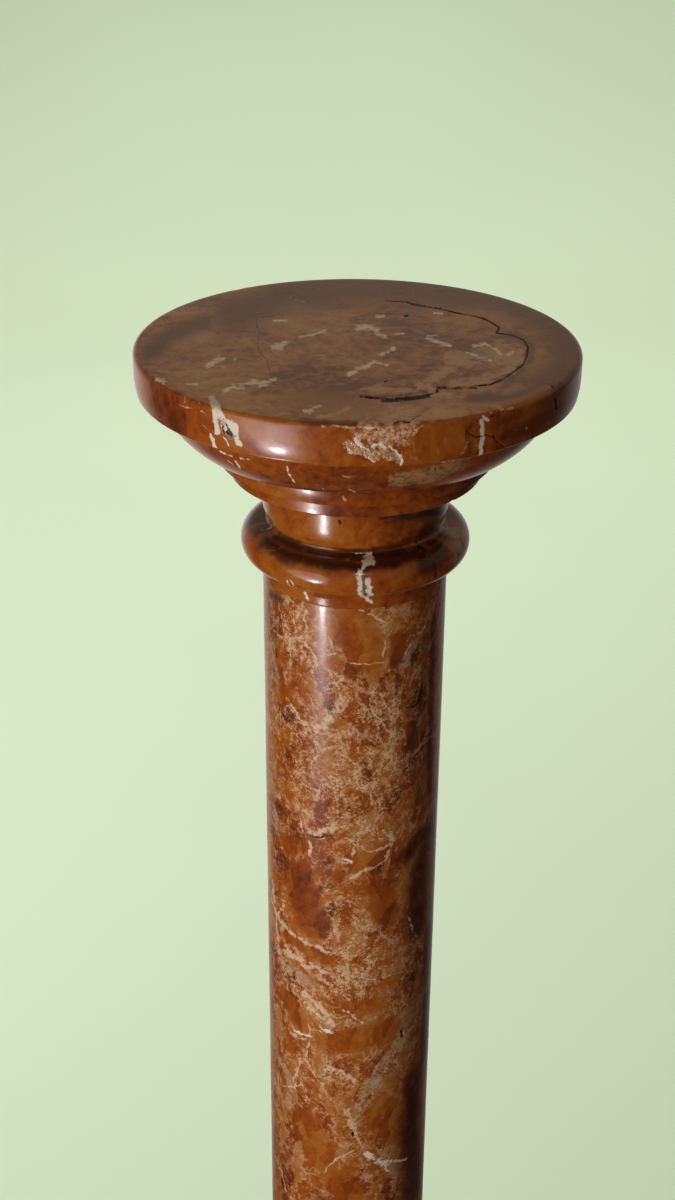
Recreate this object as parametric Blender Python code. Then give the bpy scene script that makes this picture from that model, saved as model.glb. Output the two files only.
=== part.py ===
"""A polished marble pedestal column, turned in five pieces that stand on one another.

From the floor up: a round plinth, a turned base, a plain round shaft, a neck with its torus, and
a moulded round top. Metres, +Z up. The origin is on the floor, at the centre of the plinth.
"""

from math import cos, pi, radians, sin

import bmesh
import bpy
from mathutils import Vector

# Driving dimensions, in metres

JOINT_GAP = 0.0003
EASED_EDGE = 0.0008

SHAFT_RADIUS = 0.0655
SHAFT_LENGTH = 0.7480

# The top, from its upper face down: slab, ovolo, bead and fillet.
SLAB_RADIUS = 0.1500
SLAB_THICKNESS = 0.0284
SLAB_UPPER_ROUND = 0.0038
SLAB_LOWER_ROUND = 0.0014
SLAB_DRAW_IN = 0.0018
OVOLO_SETBACK = 0.0122
OVOLO_HEIGHT = 0.0319
OVOLO_BELLY = 0.0033
OVOLO_SHELF = 0.0170
BEAD_HEIGHT = 0.0171
BEAD_TAPER = 0.0021
BEAD_BELLY = 0.0010
BEAD_PROJECTION = 0.0083
FILLET_HEIGHT = 0.0116
FILLET_PROJECTION = 0.0217

# The neck, which turns in above a small cove, then the torus and the collar on the shaft.
NECK_SWELL = 0.0010
NECK_WALL_HEIGHT = 0.0262
NECK_WALL_DRAW = 0.0014
NECK_TURN_HEIGHT = 0.0092
NECK_TURN_DEPTH = 0.0038
NECK_TURN_BELLY = 0.0006
NECK_COVE = 0.0032
TORUS_HALF_HEIGHT = 0.0134
TORUS_PROJECTION = 0.0153
COLLAR_HEIGHT = 0.0116
COLLAR_PROJECTION = 0.0009
COLLAR_COVE = 0.0032
COLLAR_HOLLOW = 0.0008

# The base, from the shaft down: collar, torus, sweep and foot band.
BASE_COLLAR_HEIGHT = 0.0120
BASE_TORUS_HALF_HEIGHT = 0.0145
BASE_TORUS_PROJECTION = 0.0170
BASE_SWEEP_HEIGHT = 0.0420
BASE_SWEEP_SETBACK = 0.0020
BASE_SWEEP_HOLLOW = 0.0090
BASE_FOOT_RADIUS = 0.1180
BASE_FOOT_HEIGHT = 0.0200

PLINTH_RADIUS = 0.1500
PLINTH_THICKNESS = 0.0320
PLINTH_ROUND = 0.0040

# Sides of each turned piece, and points along its round stretches.
TURN_SIDES = 64
EDGE_POINTS = 2
ROUND_POINTS = 3
SWEEP_POINTS = 5
TORUS_POINTS = 8

# A torus is shown from just past its crown to short of its underside, in degrees from outward.
TORUS_START = 84
TORUS_END = -72

# Corners sharper than this stay crisp; points closer than this are one point.
SHARP_ANGLE = 35
MERGE_DISTANCE = 0.00002

# Heights of the joints, from the floor up

BASE_HEIGHT = (
    BASE_FOOT_HEIGHT + BASE_SWEEP_HEIGHT + 2 * BASE_TORUS_HALF_HEIGHT + BASE_COLLAR_HEIGHT
)
NECK_HEIGHT = NECK_WALL_HEIGHT + NECK_TURN_HEIGHT + NECK_COVE
NECK_PIECE_HEIGHT = NECK_HEIGHT + 2 * TORUS_HALF_HEIGHT + COLLAR_HEIGHT
TOP_HEIGHT = SLAB_THICKNESS + OVOLO_HEIGHT + BEAD_HEIGHT + FILLET_HEIGHT

BASE_FLOOR = PLINTH_THICKNESS + JOINT_GAP
SHAFT_FLOOR = BASE_FLOOR + BASE_HEIGHT + JOINT_GAP
NECK_FLOOR = SHAFT_FLOOR + SHAFT_LENGTH + JOINT_GAP
TOP_FLOOR = NECK_FLOOR + NECK_PIECE_HEIGHT + JOINT_GAP


# Outlines: lists of (radius, height) points that run down the outer side of a piece


def arc(radius, height, across, tall, start, end, points):
    """Points of an elliptical arc about (radius, height), its angles in degrees from outward."""
    turns = [radians(start + (end - start) * i / points) for i in range(points + 1)]
    return [(radius + across * cos(turn), height + tall * sin(turn)) for turn in turns]


def bow(start, end, belly, points):
    """A bowed line from start down to end; a negative belly makes it hollow."""
    run = Vector(end) - Vector(start)
    outward = Vector((-run.y, run.x)).normalized()
    line = []
    for i in range(points + 1):
        share = i / points
        place = Vector(start) + run * share + outward * belly * 4 * share * (1 - share)
        line.append(tuple(place))
    return line


def eased_top(radius, height, size):
    """The rounded upper edge of a piece, from its flat face to its side."""
    return arc(radius - size, height - size, size, size, 90, 0, EDGE_POINTS)


def eased_foot(radius, height, size):
    """The rounded lower edge of a piece, from its side to its flat underside."""
    return arc(radius - size, height + size, size, size, 0, -90, EDGE_POINTS)


def plinth_outline():
    """A round slab with both edges rounded."""
    upper = eased_top(PLINTH_RADIUS, PLINTH_THICKNESS, PLINTH_ROUND)
    lower = eased_foot(PLINTH_RADIUS, 0, EASED_EDGE)
    return upper + lower


def base_outline():
    """The collar, a torus, a hollow sweep outwards and an upright foot band."""
    torus_radius = SHAFT_RADIUS + BASE_TORUS_PROJECTION - BASE_TORUS_HALF_HEIGHT
    torus_height = BASE_HEIGHT - BASE_COLLAR_HEIGHT - BASE_TORUS_HALF_HEIGHT
    sweep_top = (torus_radius - BASE_SWEEP_SETBACK, torus_height - BASE_TORUS_HALF_HEIGHT)
    sweep_foot = (BASE_FOOT_RADIUS - EASED_EDGE, BASE_FOOT_HEIGHT)
    collar = eased_top(SHAFT_RADIUS + COLLAR_PROJECTION, BASE_HEIGHT, EASED_EDGE)
    torus = arc(
        torus_radius, torus_height, BASE_TORUS_HALF_HEIGHT, BASE_TORUS_HALF_HEIGHT,
        TORUS_START, TORUS_END, TORUS_POINTS,
    )
    sweep = bow(sweep_top, sweep_foot, -BASE_SWEEP_HOLLOW, SWEEP_POINTS)
    foot = eased_foot(BASE_FOOT_RADIUS, 0, EASED_EDGE)
    return collar + torus + sweep + [(BASE_FOOT_RADIUS, BASE_FOOT_HEIGHT - EASED_EDGE)] + foot


def shaft_outline():
    """A plain round drum with eased ends."""
    upper = eased_top(SHAFT_RADIUS, SHAFT_LENGTH, EASED_EDGE)
    lower = eased_foot(SHAFT_RADIUS, 0, EASED_EDGE)
    return upper + lower


def neck_outline():
    """The neck and the cove at its foot, the torus that rings it and the collar beneath."""
    torus_top = COLLAR_HEIGHT + 2 * TORUS_HALF_HEIGHT
    cove_top = torus_top + NECK_COVE
    turn_top = cove_top + NECK_TURN_HEIGHT
    top_radius = SHAFT_RADIUS + NECK_SWELL
    turn_radius = top_radius - NECK_WALL_DRAW
    waist_radius = turn_radius - NECK_TURN_DEPTH
    torus_radius = SHAFT_RADIUS + TORUS_PROJECTION - TORUS_HALF_HEIGHT
    collar_radius = SHAFT_RADIUS + COLLAR_PROJECTION

    wall = [(top_radius, NECK_PIECE_HEIGHT)]
    wall += bow((turn_radius, turn_top), (waist_radius, cove_top), NECK_TURN_BELLY, ROUND_POINTS)
    cove = arc(waist_radius + NECK_COVE, cove_top, NECK_COVE, NECK_COVE, 180, 270, EDGE_POINTS)
    torus = arc(
        torus_radius, torus_top - TORUS_HALF_HEIGHT, TORUS_HALF_HEIGHT, TORUS_HALF_HEIGHT,
        TORUS_START, TORUS_END, TORUS_POINTS,
    )
    collar = bow(
        (collar_radius + COLLAR_COVE, COLLAR_HEIGHT), (collar_radius, COLLAR_HEIGHT / 2),
        -COLLAR_HOLLOW, EDGE_POINTS,
    )
    return wall + cove[1:] + torus + collar + eased_foot(collar_radius, 0, EASED_EDGE)


def top_outline():
    """The slab, the ovolo under it, and the bead and fillet that step in to the neck."""
    fillet_radius = SHAFT_RADIUS + FILLET_PROJECTION
    bead_foot = fillet_radius + BEAD_PROJECTION
    bead_top = bead_foot + BEAD_TAPER
    ovolo_foot = bead_top + OVOLO_SHELF
    slab_foot = SLAB_RADIUS - SLAB_DRAW_IN
    ovolo_top = SLAB_RADIUS - OVOLO_SETBACK - SLAB_DRAW_IN

    slab_floor = TOP_HEIGHT - SLAB_THICKNESS
    ovolo_floor = slab_floor - OVOLO_HEIGHT
    bead_floor = ovolo_floor - BEAD_HEIGHT

    slab = eased_top(SLAB_RADIUS, TOP_HEIGHT, SLAB_UPPER_ROUND)
    slab += eased_foot(slab_foot, slab_floor, SLAB_LOWER_ROUND)
    ovolo = bow((ovolo_top, slab_floor), (ovolo_foot, ovolo_floor), OVOLO_BELLY, SWEEP_POINTS)
    bead = bow((bead_top, ovolo_floor), (bead_foot, bead_floor), BEAD_BELLY, ROUND_POINTS)
    fillet = [(fillet_radius, bead_floor)] + eased_foot(fillet_radius, 0, EASED_EDGE)
    return slab + ovolo + bead + fillet


# Materials and turning


def marble(name, colour, roughness):
    """A polished stone material of one plain colour."""
    material = bpy.data.materials.new(name)
    material.use_nodes = True
    shader = material.node_tree.nodes["Principled BSDF"]
    shader.inputs["Base Color"].default_value = (*colour, 1.0)
    shader.inputs["Roughness"].default_value = roughness
    shader.inputs["Metallic"].default_value = 0.0
    return material


def turn(name, outline, floor, material):
    """Spin an outline about the column's axis into one closed, smooth-sided piece."""
    highest = outline[0][1]
    lowest = outline[-1][1]
    points = [(0.0, highest)] + outline + [(0.0, lowest)]

    shape = bmesh.new()
    line = [shape.verts.new((radius, 0.0, floor + height)) for radius, height in points]
    edges = [shape.edges.new(pair) for pair in zip(line, line[1:])]
    bmesh.ops.spin(
        shape,
        geom=line + edges,
        cent=(0.0, 0.0, 0.0),
        axis=(0.0, 0.0, 1.0),
        angle=2 * pi,
        steps=TURN_SIDES,
        use_merge=True,
    )
    bmesh.ops.remove_doubles(shape, verts=shape.verts[:], dist=MERGE_DISTANCE)
    bmesh.ops.recalc_face_normals(shape, faces=shape.faces[:])

    mesh = bpy.data.meshes.new(name)
    shape.to_mesh(mesh)
    shape.free()
    mesh.shade_smooth()
    mesh.set_sharp_from_angle(angle=radians(SHARP_ANGLE))
    mesh.materials.append(material)
    piece = bpy.data.objects.new(name, mesh)
    bpy.context.scene.collection.objects.link(piece)
    return piece


for old in list(bpy.data.objects):
    bpy.data.objects.remove(old)

top_marble = marble("top_marble", (0.36, 0.13, 0.045), 0.14)
neck_marble = marble("neck_marble", (0.38, 0.12, 0.03), 0.12)
shaft_marble = marble("shaft_marble", (0.40, 0.14, 0.045), 0.15)
base_marble = marble("base_marble", (0.36, 0.12, 0.035), 0.16)

turn("plinth", plinth_outline(), 0.0, base_marble)
turn("base_moulding", base_outline(), BASE_FLOOR, base_marble)
turn("shaft", shaft_outline(), SHAFT_FLOOR, shaft_marble)
turn("neck_and_torus", neck_outline(), NECK_FLOOR, neck_marble)
turn("moulded_top", top_outline(), TOP_FLOOR, top_marble)
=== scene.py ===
"""The looks of the marble pedestal column: fine turned pieces, veined marble, light and camera."""

from math import atan2, cos, exp, hypot, pi, radians, sin

import bmesh
import bpy
from mathutils import Matrix, Vector, noise
from mathutils.bvhtree import BVHTree
from mathutils.kdtree import KDTree


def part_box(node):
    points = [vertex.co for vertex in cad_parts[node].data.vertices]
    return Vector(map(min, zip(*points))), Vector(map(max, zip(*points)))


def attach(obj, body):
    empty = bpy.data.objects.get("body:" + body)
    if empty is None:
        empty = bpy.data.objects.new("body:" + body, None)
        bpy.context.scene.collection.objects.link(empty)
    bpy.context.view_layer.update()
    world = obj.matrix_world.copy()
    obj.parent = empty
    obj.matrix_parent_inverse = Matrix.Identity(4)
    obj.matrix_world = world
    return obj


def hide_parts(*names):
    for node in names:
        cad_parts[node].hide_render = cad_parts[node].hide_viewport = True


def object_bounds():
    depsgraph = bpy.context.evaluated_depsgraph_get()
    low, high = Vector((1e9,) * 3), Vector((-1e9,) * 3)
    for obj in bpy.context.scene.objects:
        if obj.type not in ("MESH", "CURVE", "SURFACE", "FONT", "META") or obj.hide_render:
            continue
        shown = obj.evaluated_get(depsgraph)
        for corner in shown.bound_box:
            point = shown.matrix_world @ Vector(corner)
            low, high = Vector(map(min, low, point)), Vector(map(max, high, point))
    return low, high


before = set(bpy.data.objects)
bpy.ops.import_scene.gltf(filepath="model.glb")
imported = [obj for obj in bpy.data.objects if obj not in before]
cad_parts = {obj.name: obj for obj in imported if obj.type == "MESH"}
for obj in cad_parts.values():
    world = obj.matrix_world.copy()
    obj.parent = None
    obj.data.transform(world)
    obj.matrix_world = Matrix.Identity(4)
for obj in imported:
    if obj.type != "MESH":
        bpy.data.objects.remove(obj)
cad_low, cad_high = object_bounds()

# Sizes of the turned pieces, in metres. The slab's side and the bead are a little fuller than in the
# part's own source, so that their highlights lie where the photograph shows them.

EASED_EDGE = 0.0008
SHAFT_RADIUS = 0.0655

SLAB_RADIUS = 0.1500
SLAB_THICKNESS = 0.0284
SLAB_UPPER_ROUND = 0.0038
SLAB_LOWER_ROUND = 0.0022
SLAB_DRAW_IN = 0.0012
SLAB_UPRIGHT_SHARE = 0.53
OVOLO_SETBACK = 0.0128
OVOLO_HEIGHT = 0.0319
OVOLO_BELLY = 0.0033
OVOLO_SHELF = 0.0170
BEAD_HEIGHT = 0.0171
BEAD_TAPER = 0.0012
BEAD_BELLY = 0.0008
BEAD_PROJECTION = 0.0083
FILLET_PROJECTION = 0.0217

NECK_SWELL = 0.0010
NECK_WALL_DRAW = 0.0014
NECK_TURN_HEIGHT = 0.0092
NECK_TURN_DEPTH = 0.0038
NECK_TURN_BELLY = 0.0006
NECK_COVE = 0.0032
TORUS_HALF_HEIGHT = 0.0134
TORUS_PROJECTION = 0.0153
COLLAR_HEIGHT = 0.0116
COLLAR_PROJECTION = 0.0009
COLLAR_COVE = 0.0032
COLLAR_HOLLOW = 0.0008

BASE_COLLAR_HEIGHT = 0.0120
BASE_TORUS_HALF_HEIGHT = 0.0145
BASE_TORUS_PROJECTION = 0.0170
BASE_SWEEP_SETBACK = 0.0020
BASE_SWEEP_HOLLOW = 0.0090
BASE_FOOT_RADIUS = 0.1180
BASE_FOOT_HEIGHT = 0.0200

PLINTH_RADIUS = 0.1500
PLINTH_ROUND = 0.0040

TORUS_START = 84
TORUS_END = -72

# How finely the pieces are turned: the degrees of an arc and the points of a bow, the metres between
# rows and those closed as a gap, the degrees of a sharp edge, and how much denser the sides get in front

ARC_STEP = 9
BOW_POINTS = 16
ROW_STEP = 0.0040
MERGE_GAP = 0.00002
SHARP_ANGLE = 40
FRONT_SHARE = 0.45

# How sharp a bend counts as an arris, and how far from it the stone is nicked

ARRIS_BEND = 500.0
ARRIS_REACH = 0.0012

# The least length that is divided by, in metres

SHORTEST = 1e-5

# Wear, in metres, with the scales and levels of the noise that shapes it

WAVER = 0.0006
WAVER_SCALE = 11.0
WAVER_LEVEL = 0.8
NICK_DEPTH = 0.0006
NICK_SCALE = 140.0
NICK_LEVELS = (0.57, 0.72)
NICK_PATCH_SCALE = 23.0
NICK_PATCH_LEVELS = (0.48, 0.62)

# How marks are cut into a mesh: halvings of its faces, their reach, the length of edge left alone,
# and how far inside a mark its full depth is reached

CARVE_LEVELS = 3
CARVE_REACH = 0.0030
CARVE_STEP = 0.0004
CARVE_FINEST = 0.0006
CARVE_GRAIN = 900.0
CARVE_SHOULDER = 0.8

# How far past the faces of a stretch its marks are looked for, and how deep inside a mark the places
# are that lie far from every one

MARK_MARGIN = 0.010
FAR_OUTSIDE = -9.0

# How much shorter than wide the photograph shows a round spot on the top's flat face

FACE_SQUASH = 0.34

# The camera, from the top's upper face, and the photograph's frame

TOP_HEIGHT = cad_high.z
CAMERA_SIDE = -0.0122
CAMERA_BACK = 1.1102
CAMERA_RISE = 0.3750
CAMERA_PITCH = 27.113
CAMERA_ROLL = 0.385
PHOTO_WIDTH = 675
PHOTO_HEIGHT = 1200
LENS_PIXELS = 1733
SENSOR_MM = 36


# Helpers


def add_object(name, data):
    """A new object in the scene."""
    made = bpy.data.objects.new(name, data)
    bpy.context.scene.collection.objects.link(made)
    return made


def nearest_finder(places):
    """A tree that finds the nearest of some places."""
    tree = KDTree(len(places))
    for index, place in enumerate(places):
        tree.insert(place, index)
    tree.balance()
    return tree


# Camera


def camera_axes():
    """The camera's right, up and forward directions, tilted down and rolled a little."""
    pitch = radians(CAMERA_PITCH)
    roll = radians(CAMERA_ROLL)
    forward = Vector((0.0, cos(pitch), -sin(pitch)))
    level_right = Vector((1.0, 0.0, 0.0))
    level_up = Vector((0.0, sin(pitch), cos(pitch)))
    right = cos(roll) * level_right + sin(roll) * level_up
    up = cos(roll) * level_up - sin(roll) * level_right
    return right, up, forward


def camera_place():
    """The camera's position."""
    return Vector((CAMERA_SIDE, -CAMERA_BACK, TOP_HEIGHT + CAMERA_RISE))


def add_camera():
    """The camera at the photograph's viewing angle."""
    right, up, forward = camera_axes()
    turn = Matrix((right, up, -forward)).transposed()
    data = bpy.data.cameras.new("camera")
    data.lens = LENS_PIXELS * SENSOR_MM / PHOTO_HEIGHT
    data.sensor_width = SENSOR_MM
    camera = add_object("camera", data)
    camera.matrix_world = Matrix.Translation(camera_place()) @ turn.to_4x4()
    bpy.context.scene.camera = camera


# Node trees


def set_stops(elements, stops):
    """Give a new colour ramp its (position, colour) stops."""
    while len(elements) < len(stops):
        elements.new(1.0)
    for element, (position, colour) in zip(elements, stops):
        element.position = position
        element.color = colour


class Wire:
    """A socket in a node tree. Arithmetic on it adds the Math nodes that work it out."""

    def __init__(self, tree, socket=None):
        self.tree = tree
        self.socket = socket

    def node(self, kind, settings=None, sockets=None, output=0):
        """Add any node: its type, its settings, then the values or links of its sockets."""
        made = self.tree.nodes.new(kind)
        for name, setting in (settings or {}).items():
            if name == "stops":
                set_stops(made.color_ramp.elements, setting)
            else:
                setattr(made, name, setting)
        for name, value in (sockets or {}).items():
            if isinstance(value, Wire):
                self.tree.links.new(value.socket, made.inputs[name])
            else:
                made.inputs[name].default_value = value
        return Wire(self.tree, made.outputs[output])

    def math(self, operation, *terms):
        """A Math node on one to three terms."""
        return self.node("ShaderNodeMath", {"operation": operation}, dict(enumerate(terms)))

    def vector(self, operation, *terms, output=0):
        """A Vector Math node on vectors."""
        return self.node("ShaderNodeVectorMath", {"operation": operation}, dict(enumerate(terms)), output)

    def axes(self):
        """The x, y and z of a vector, as three values."""
        parts = self.node("ShaderNodeSeparateXYZ", {}, {0: self}).socket.node.outputs
        return [Wire(self.tree, part) for part in parts]

    def channel(self, number):
        """One of a colour's red, green and blue."""
        return self.node("ShaderNodeSeparateColor", {}, {0: self}, number)

    def joined(self, **parts):
        """A vector made of an X, a Y and a Z; one left out is 0."""
        return self.node("ShaderNodeCombineXYZ", {}, parts)

    def scaled(self, factor):
        """A vector made longer or shorter."""
        return self.node("ShaderNodeVectorMath", {"operation": "SCALE"}, {0: self, "Scale": factor})

    def __add__(self, other):
        return self.math("ADD", self, other)

    def __sub__(self, other):
        return self.math("SUBTRACT", self, other)

    def __rsub__(self, other):
        return self.math("SUBTRACT", other, self)

    def __mul__(self, other):
        return self.math("MULTIPLY", self, other)

    def __truediv__(self, other):
        return self.math("DIVIDE", self, other)

    __radd__ = __add__
    __rmul__ = __mul__

    def clamped(self):
        """The value kept between 0 and 1."""
        capped = self.math("MINIMUM", self, 1.0)
        return capped.math("MAXIMUM", capped, 0.0)

    def smooth(self, low, high):
        """A soft step: 0 at or below low, 1 at or above high."""
        return self.node(
            "ShaderNodeMapRange",
            {"interpolation_type": "SMOOTHSTEP", "clamp": False},
            {"Value": self, "From Min": low, "From Max": high},
        )

    def most(self, other):
        """The larger of two values."""
        return self.math("MAXIMUM", self, other)

    def mix(self, first, second):
        """A colour that goes from first to second as this value goes from 0 to 1."""
        return self.node("ShaderNodeMix", {"data_type": "RGBA"}, {0: self, 6: first, 7: second}, 2)

    def ramp(self, stops):
        """A colour read along a ramp of (position, colour) stops."""
        return self.node("ShaderNodeValToRGB", {"stops": stops}, {0: self})

    def noise(self, scale, detail=2.0, roughness=0.5, output=0):
        """Noise read at this place: a value, or with output 1 three of them as a colour."""
        return self.node(
            "ShaderNodeTexNoise",
            {},
            {"Vector": self, "Scale": scale, "Detail": detail, "Roughness": roughness},
            output,
        )

    def cells(self, scale, feature="F1", output=0):
        """Voronoi cells read at this place."""
        return self.node(
            "ShaderNodeTexVoronoi", {"feature": feature}, {"Vector": self, "Scale": scale}, output
        )


# Outlines: (radius, height) points that run down the outer side of a piece


def arc(radius, height, size, start, end):
    """Points of a round arc about (radius, height), its angles in degrees from outward."""
    points = max(2, round(abs(end - start) / ARC_STEP))
    turns = [radians(start + (end - start) * i / points) for i in range(points + 1)]
    return [(radius + size * cos(turn), height + size * sin(turn)) for turn in turns]


def bow(start, end, belly):
    """A bowed line from start down to end; a negative belly makes it hollow."""
    run = Vector(end) - Vector(start)
    outward = Vector((-run.y, run.x)).normalized()
    line = []
    for i in range(BOW_POINTS + 1):
        share = i / BOW_POINTS
        place = Vector(start) + run * share + outward * belly * 4 * share * (1 - share)
        line.append(tuple(place))
    return line


def eased_top(radius, height, size):
    """The rounded upper edge of a piece, from its flat face to its side."""
    return arc(radius - size, height - size, size, 90, 0)


def eased_foot(radius, height, size):
    """The rounded lower edge of a piece, from its side to its flat underside."""
    return arc(radius - size, height + size, size, 0, -90)


def top_outline(floor, ceiling):
    """The slab, the ovolo under it, and the bead and fillet that step in to the neck."""
    fillet_radius = SHAFT_RADIUS + FILLET_PROJECTION
    bead_foot = fillet_radius + BEAD_PROJECTION
    bead_top = bead_foot + BEAD_TAPER
    ovolo_foot = bead_top + OVOLO_SHELF
    slab_foot = SLAB_RADIUS - SLAB_DRAW_IN
    ovolo_top = SLAB_RADIUS - OVOLO_SETBACK - SLAB_DRAW_IN

    slab_floor = ceiling - SLAB_THICKNESS
    ovolo_floor = slab_floor - OVOLO_HEIGHT
    bead_floor = ovolo_floor - BEAD_HEIGHT

    slab = eased_top(SLAB_RADIUS, ceiling, SLAB_UPPER_ROUND)
    upright_end = (SLAB_RADIUS, ceiling - SLAB_THICKNESS * SLAB_UPRIGHT_SHARE)
    # A belly of a quarter of the draw-in lets the curve leave the upright part without a bend
    slab += bow(upright_end, (slab_foot, slab_floor + SLAB_LOWER_ROUND), SLAB_DRAW_IN / 4)
    slab += eased_foot(slab_foot, slab_floor, SLAB_LOWER_ROUND)[1:]
    ovolo = bow((ovolo_top, slab_floor), (ovolo_foot, ovolo_floor), OVOLO_BELLY)
    bead = bow((bead_top, ovolo_floor), (bead_foot, bead_floor), BEAD_BELLY)
    fillet = [(fillet_radius, bead_floor)] + eased_foot(fillet_radius, floor, EASED_EDGE)
    return slab + ovolo + bead + fillet


def neck_outline(floor, ceiling):
    """The neck and the cove at its foot, the torus that rings it and the collar beneath."""
    torus_top = floor + COLLAR_HEIGHT + 2 * TORUS_HALF_HEIGHT
    cove_top = torus_top + NECK_COVE
    turn_top = cove_top + NECK_TURN_HEIGHT
    top_radius = SHAFT_RADIUS + NECK_SWELL
    turn_radius = top_radius - NECK_WALL_DRAW
    waist_radius = turn_radius - NECK_TURN_DEPTH
    torus_radius = SHAFT_RADIUS + TORUS_PROJECTION - TORUS_HALF_HEIGHT
    collar_radius = SHAFT_RADIUS + COLLAR_PROJECTION

    wall = [(top_radius, ceiling)]
    wall += bow((turn_radius, turn_top), (waist_radius, cove_top), NECK_TURN_BELLY)
    cove = arc(waist_radius + NECK_COVE, cove_top, NECK_COVE, 180, 270)
    torus_height = torus_top - TORUS_HALF_HEIGHT
    torus = arc(torus_radius, torus_height, TORUS_HALF_HEIGHT, TORUS_START, TORUS_END)
    collar_top = (collar_radius + COLLAR_COVE, floor + COLLAR_HEIGHT)
    collar = bow(collar_top, (collar_radius, floor + COLLAR_HEIGHT / 2), -COLLAR_HOLLOW)
    return wall + cove[1:] + torus + collar + eased_foot(collar_radius, floor, EASED_EDGE)


def shaft_outline(floor, ceiling):
    """A plain round drum with eased ends."""
    upper = eased_top(SHAFT_RADIUS, ceiling, EASED_EDGE)
    return upper + eased_foot(SHAFT_RADIUS, floor, EASED_EDGE)


def base_outline(floor, ceiling):
    """The collar, a torus, a hollow sweep outwards and an upright foot band."""
    torus_radius = SHAFT_RADIUS + BASE_TORUS_PROJECTION - BASE_TORUS_HALF_HEIGHT
    torus_height = ceiling - BASE_COLLAR_HEIGHT - BASE_TORUS_HALF_HEIGHT
    sweep_top = (torus_radius - BASE_SWEEP_SETBACK, torus_height - BASE_TORUS_HALF_HEIGHT)
    sweep_foot = (BASE_FOOT_RADIUS - EASED_EDGE, floor + BASE_FOOT_HEIGHT)
    collar = eased_top(SHAFT_RADIUS + COLLAR_PROJECTION, ceiling, EASED_EDGE)
    torus = arc(torus_radius, torus_height, BASE_TORUS_HALF_HEIGHT, TORUS_START, TORUS_END)
    sweep = bow(sweep_top, sweep_foot, -BASE_SWEEP_HOLLOW)
    foot = [(BASE_FOOT_RADIUS, floor + BASE_FOOT_HEIGHT - EASED_EDGE)]
    return collar + torus + sweep + foot + eased_foot(BASE_FOOT_RADIUS, floor, EASED_EDGE)


def plinth_outline(floor, ceiling):
    """A round slab with both edges rounded."""
    upper = eased_top(PLINTH_RADIUS, ceiling, PLINTH_ROUND)
    return upper + eased_foot(PLINTH_RADIUS, floor, EASED_EDGE)


def filled(outline):
    """The whole outline from axis to axis, with straight stretches cut into short rows."""
    points = [(0.0, outline[0][1])] + outline + [(0.0, outline[-1][1])]
    dense = [points[0]]
    for before, after in zip(points, points[1:]):
        length = hypot(after[0] - before[0], after[1] - before[1])
        cuts = max(1, round(length / ROW_STEP))
        for i in range(1, cuts + 1):
            share = i / cuts
            dense.append(tuple(a + (b - a) * share for a, b in zip(before, after)))
    return dense


def arris_share(points, index):
    """How nearly a point of an outline sits on an outward-pointing corner, from 0 to 1."""
    if not 0 < index < len(points) - 1:
        return 0.0
    before, here, after = points[index - 1: index + 2]
    into = (here[0] - before[0], here[1] - before[1])
    out = (after[0] - here[0], after[1] - here[1])
    turn = (atan2(into[1], into[0]) - atan2(out[1], out[0]) + pi) % (2 * pi) - pi
    length = (hypot(*into) + hypot(*out)) / 2
    return min(1.0, max(0.0, turn / max(length, SHORTEST) / ARRIS_BEND))


# Turning


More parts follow.
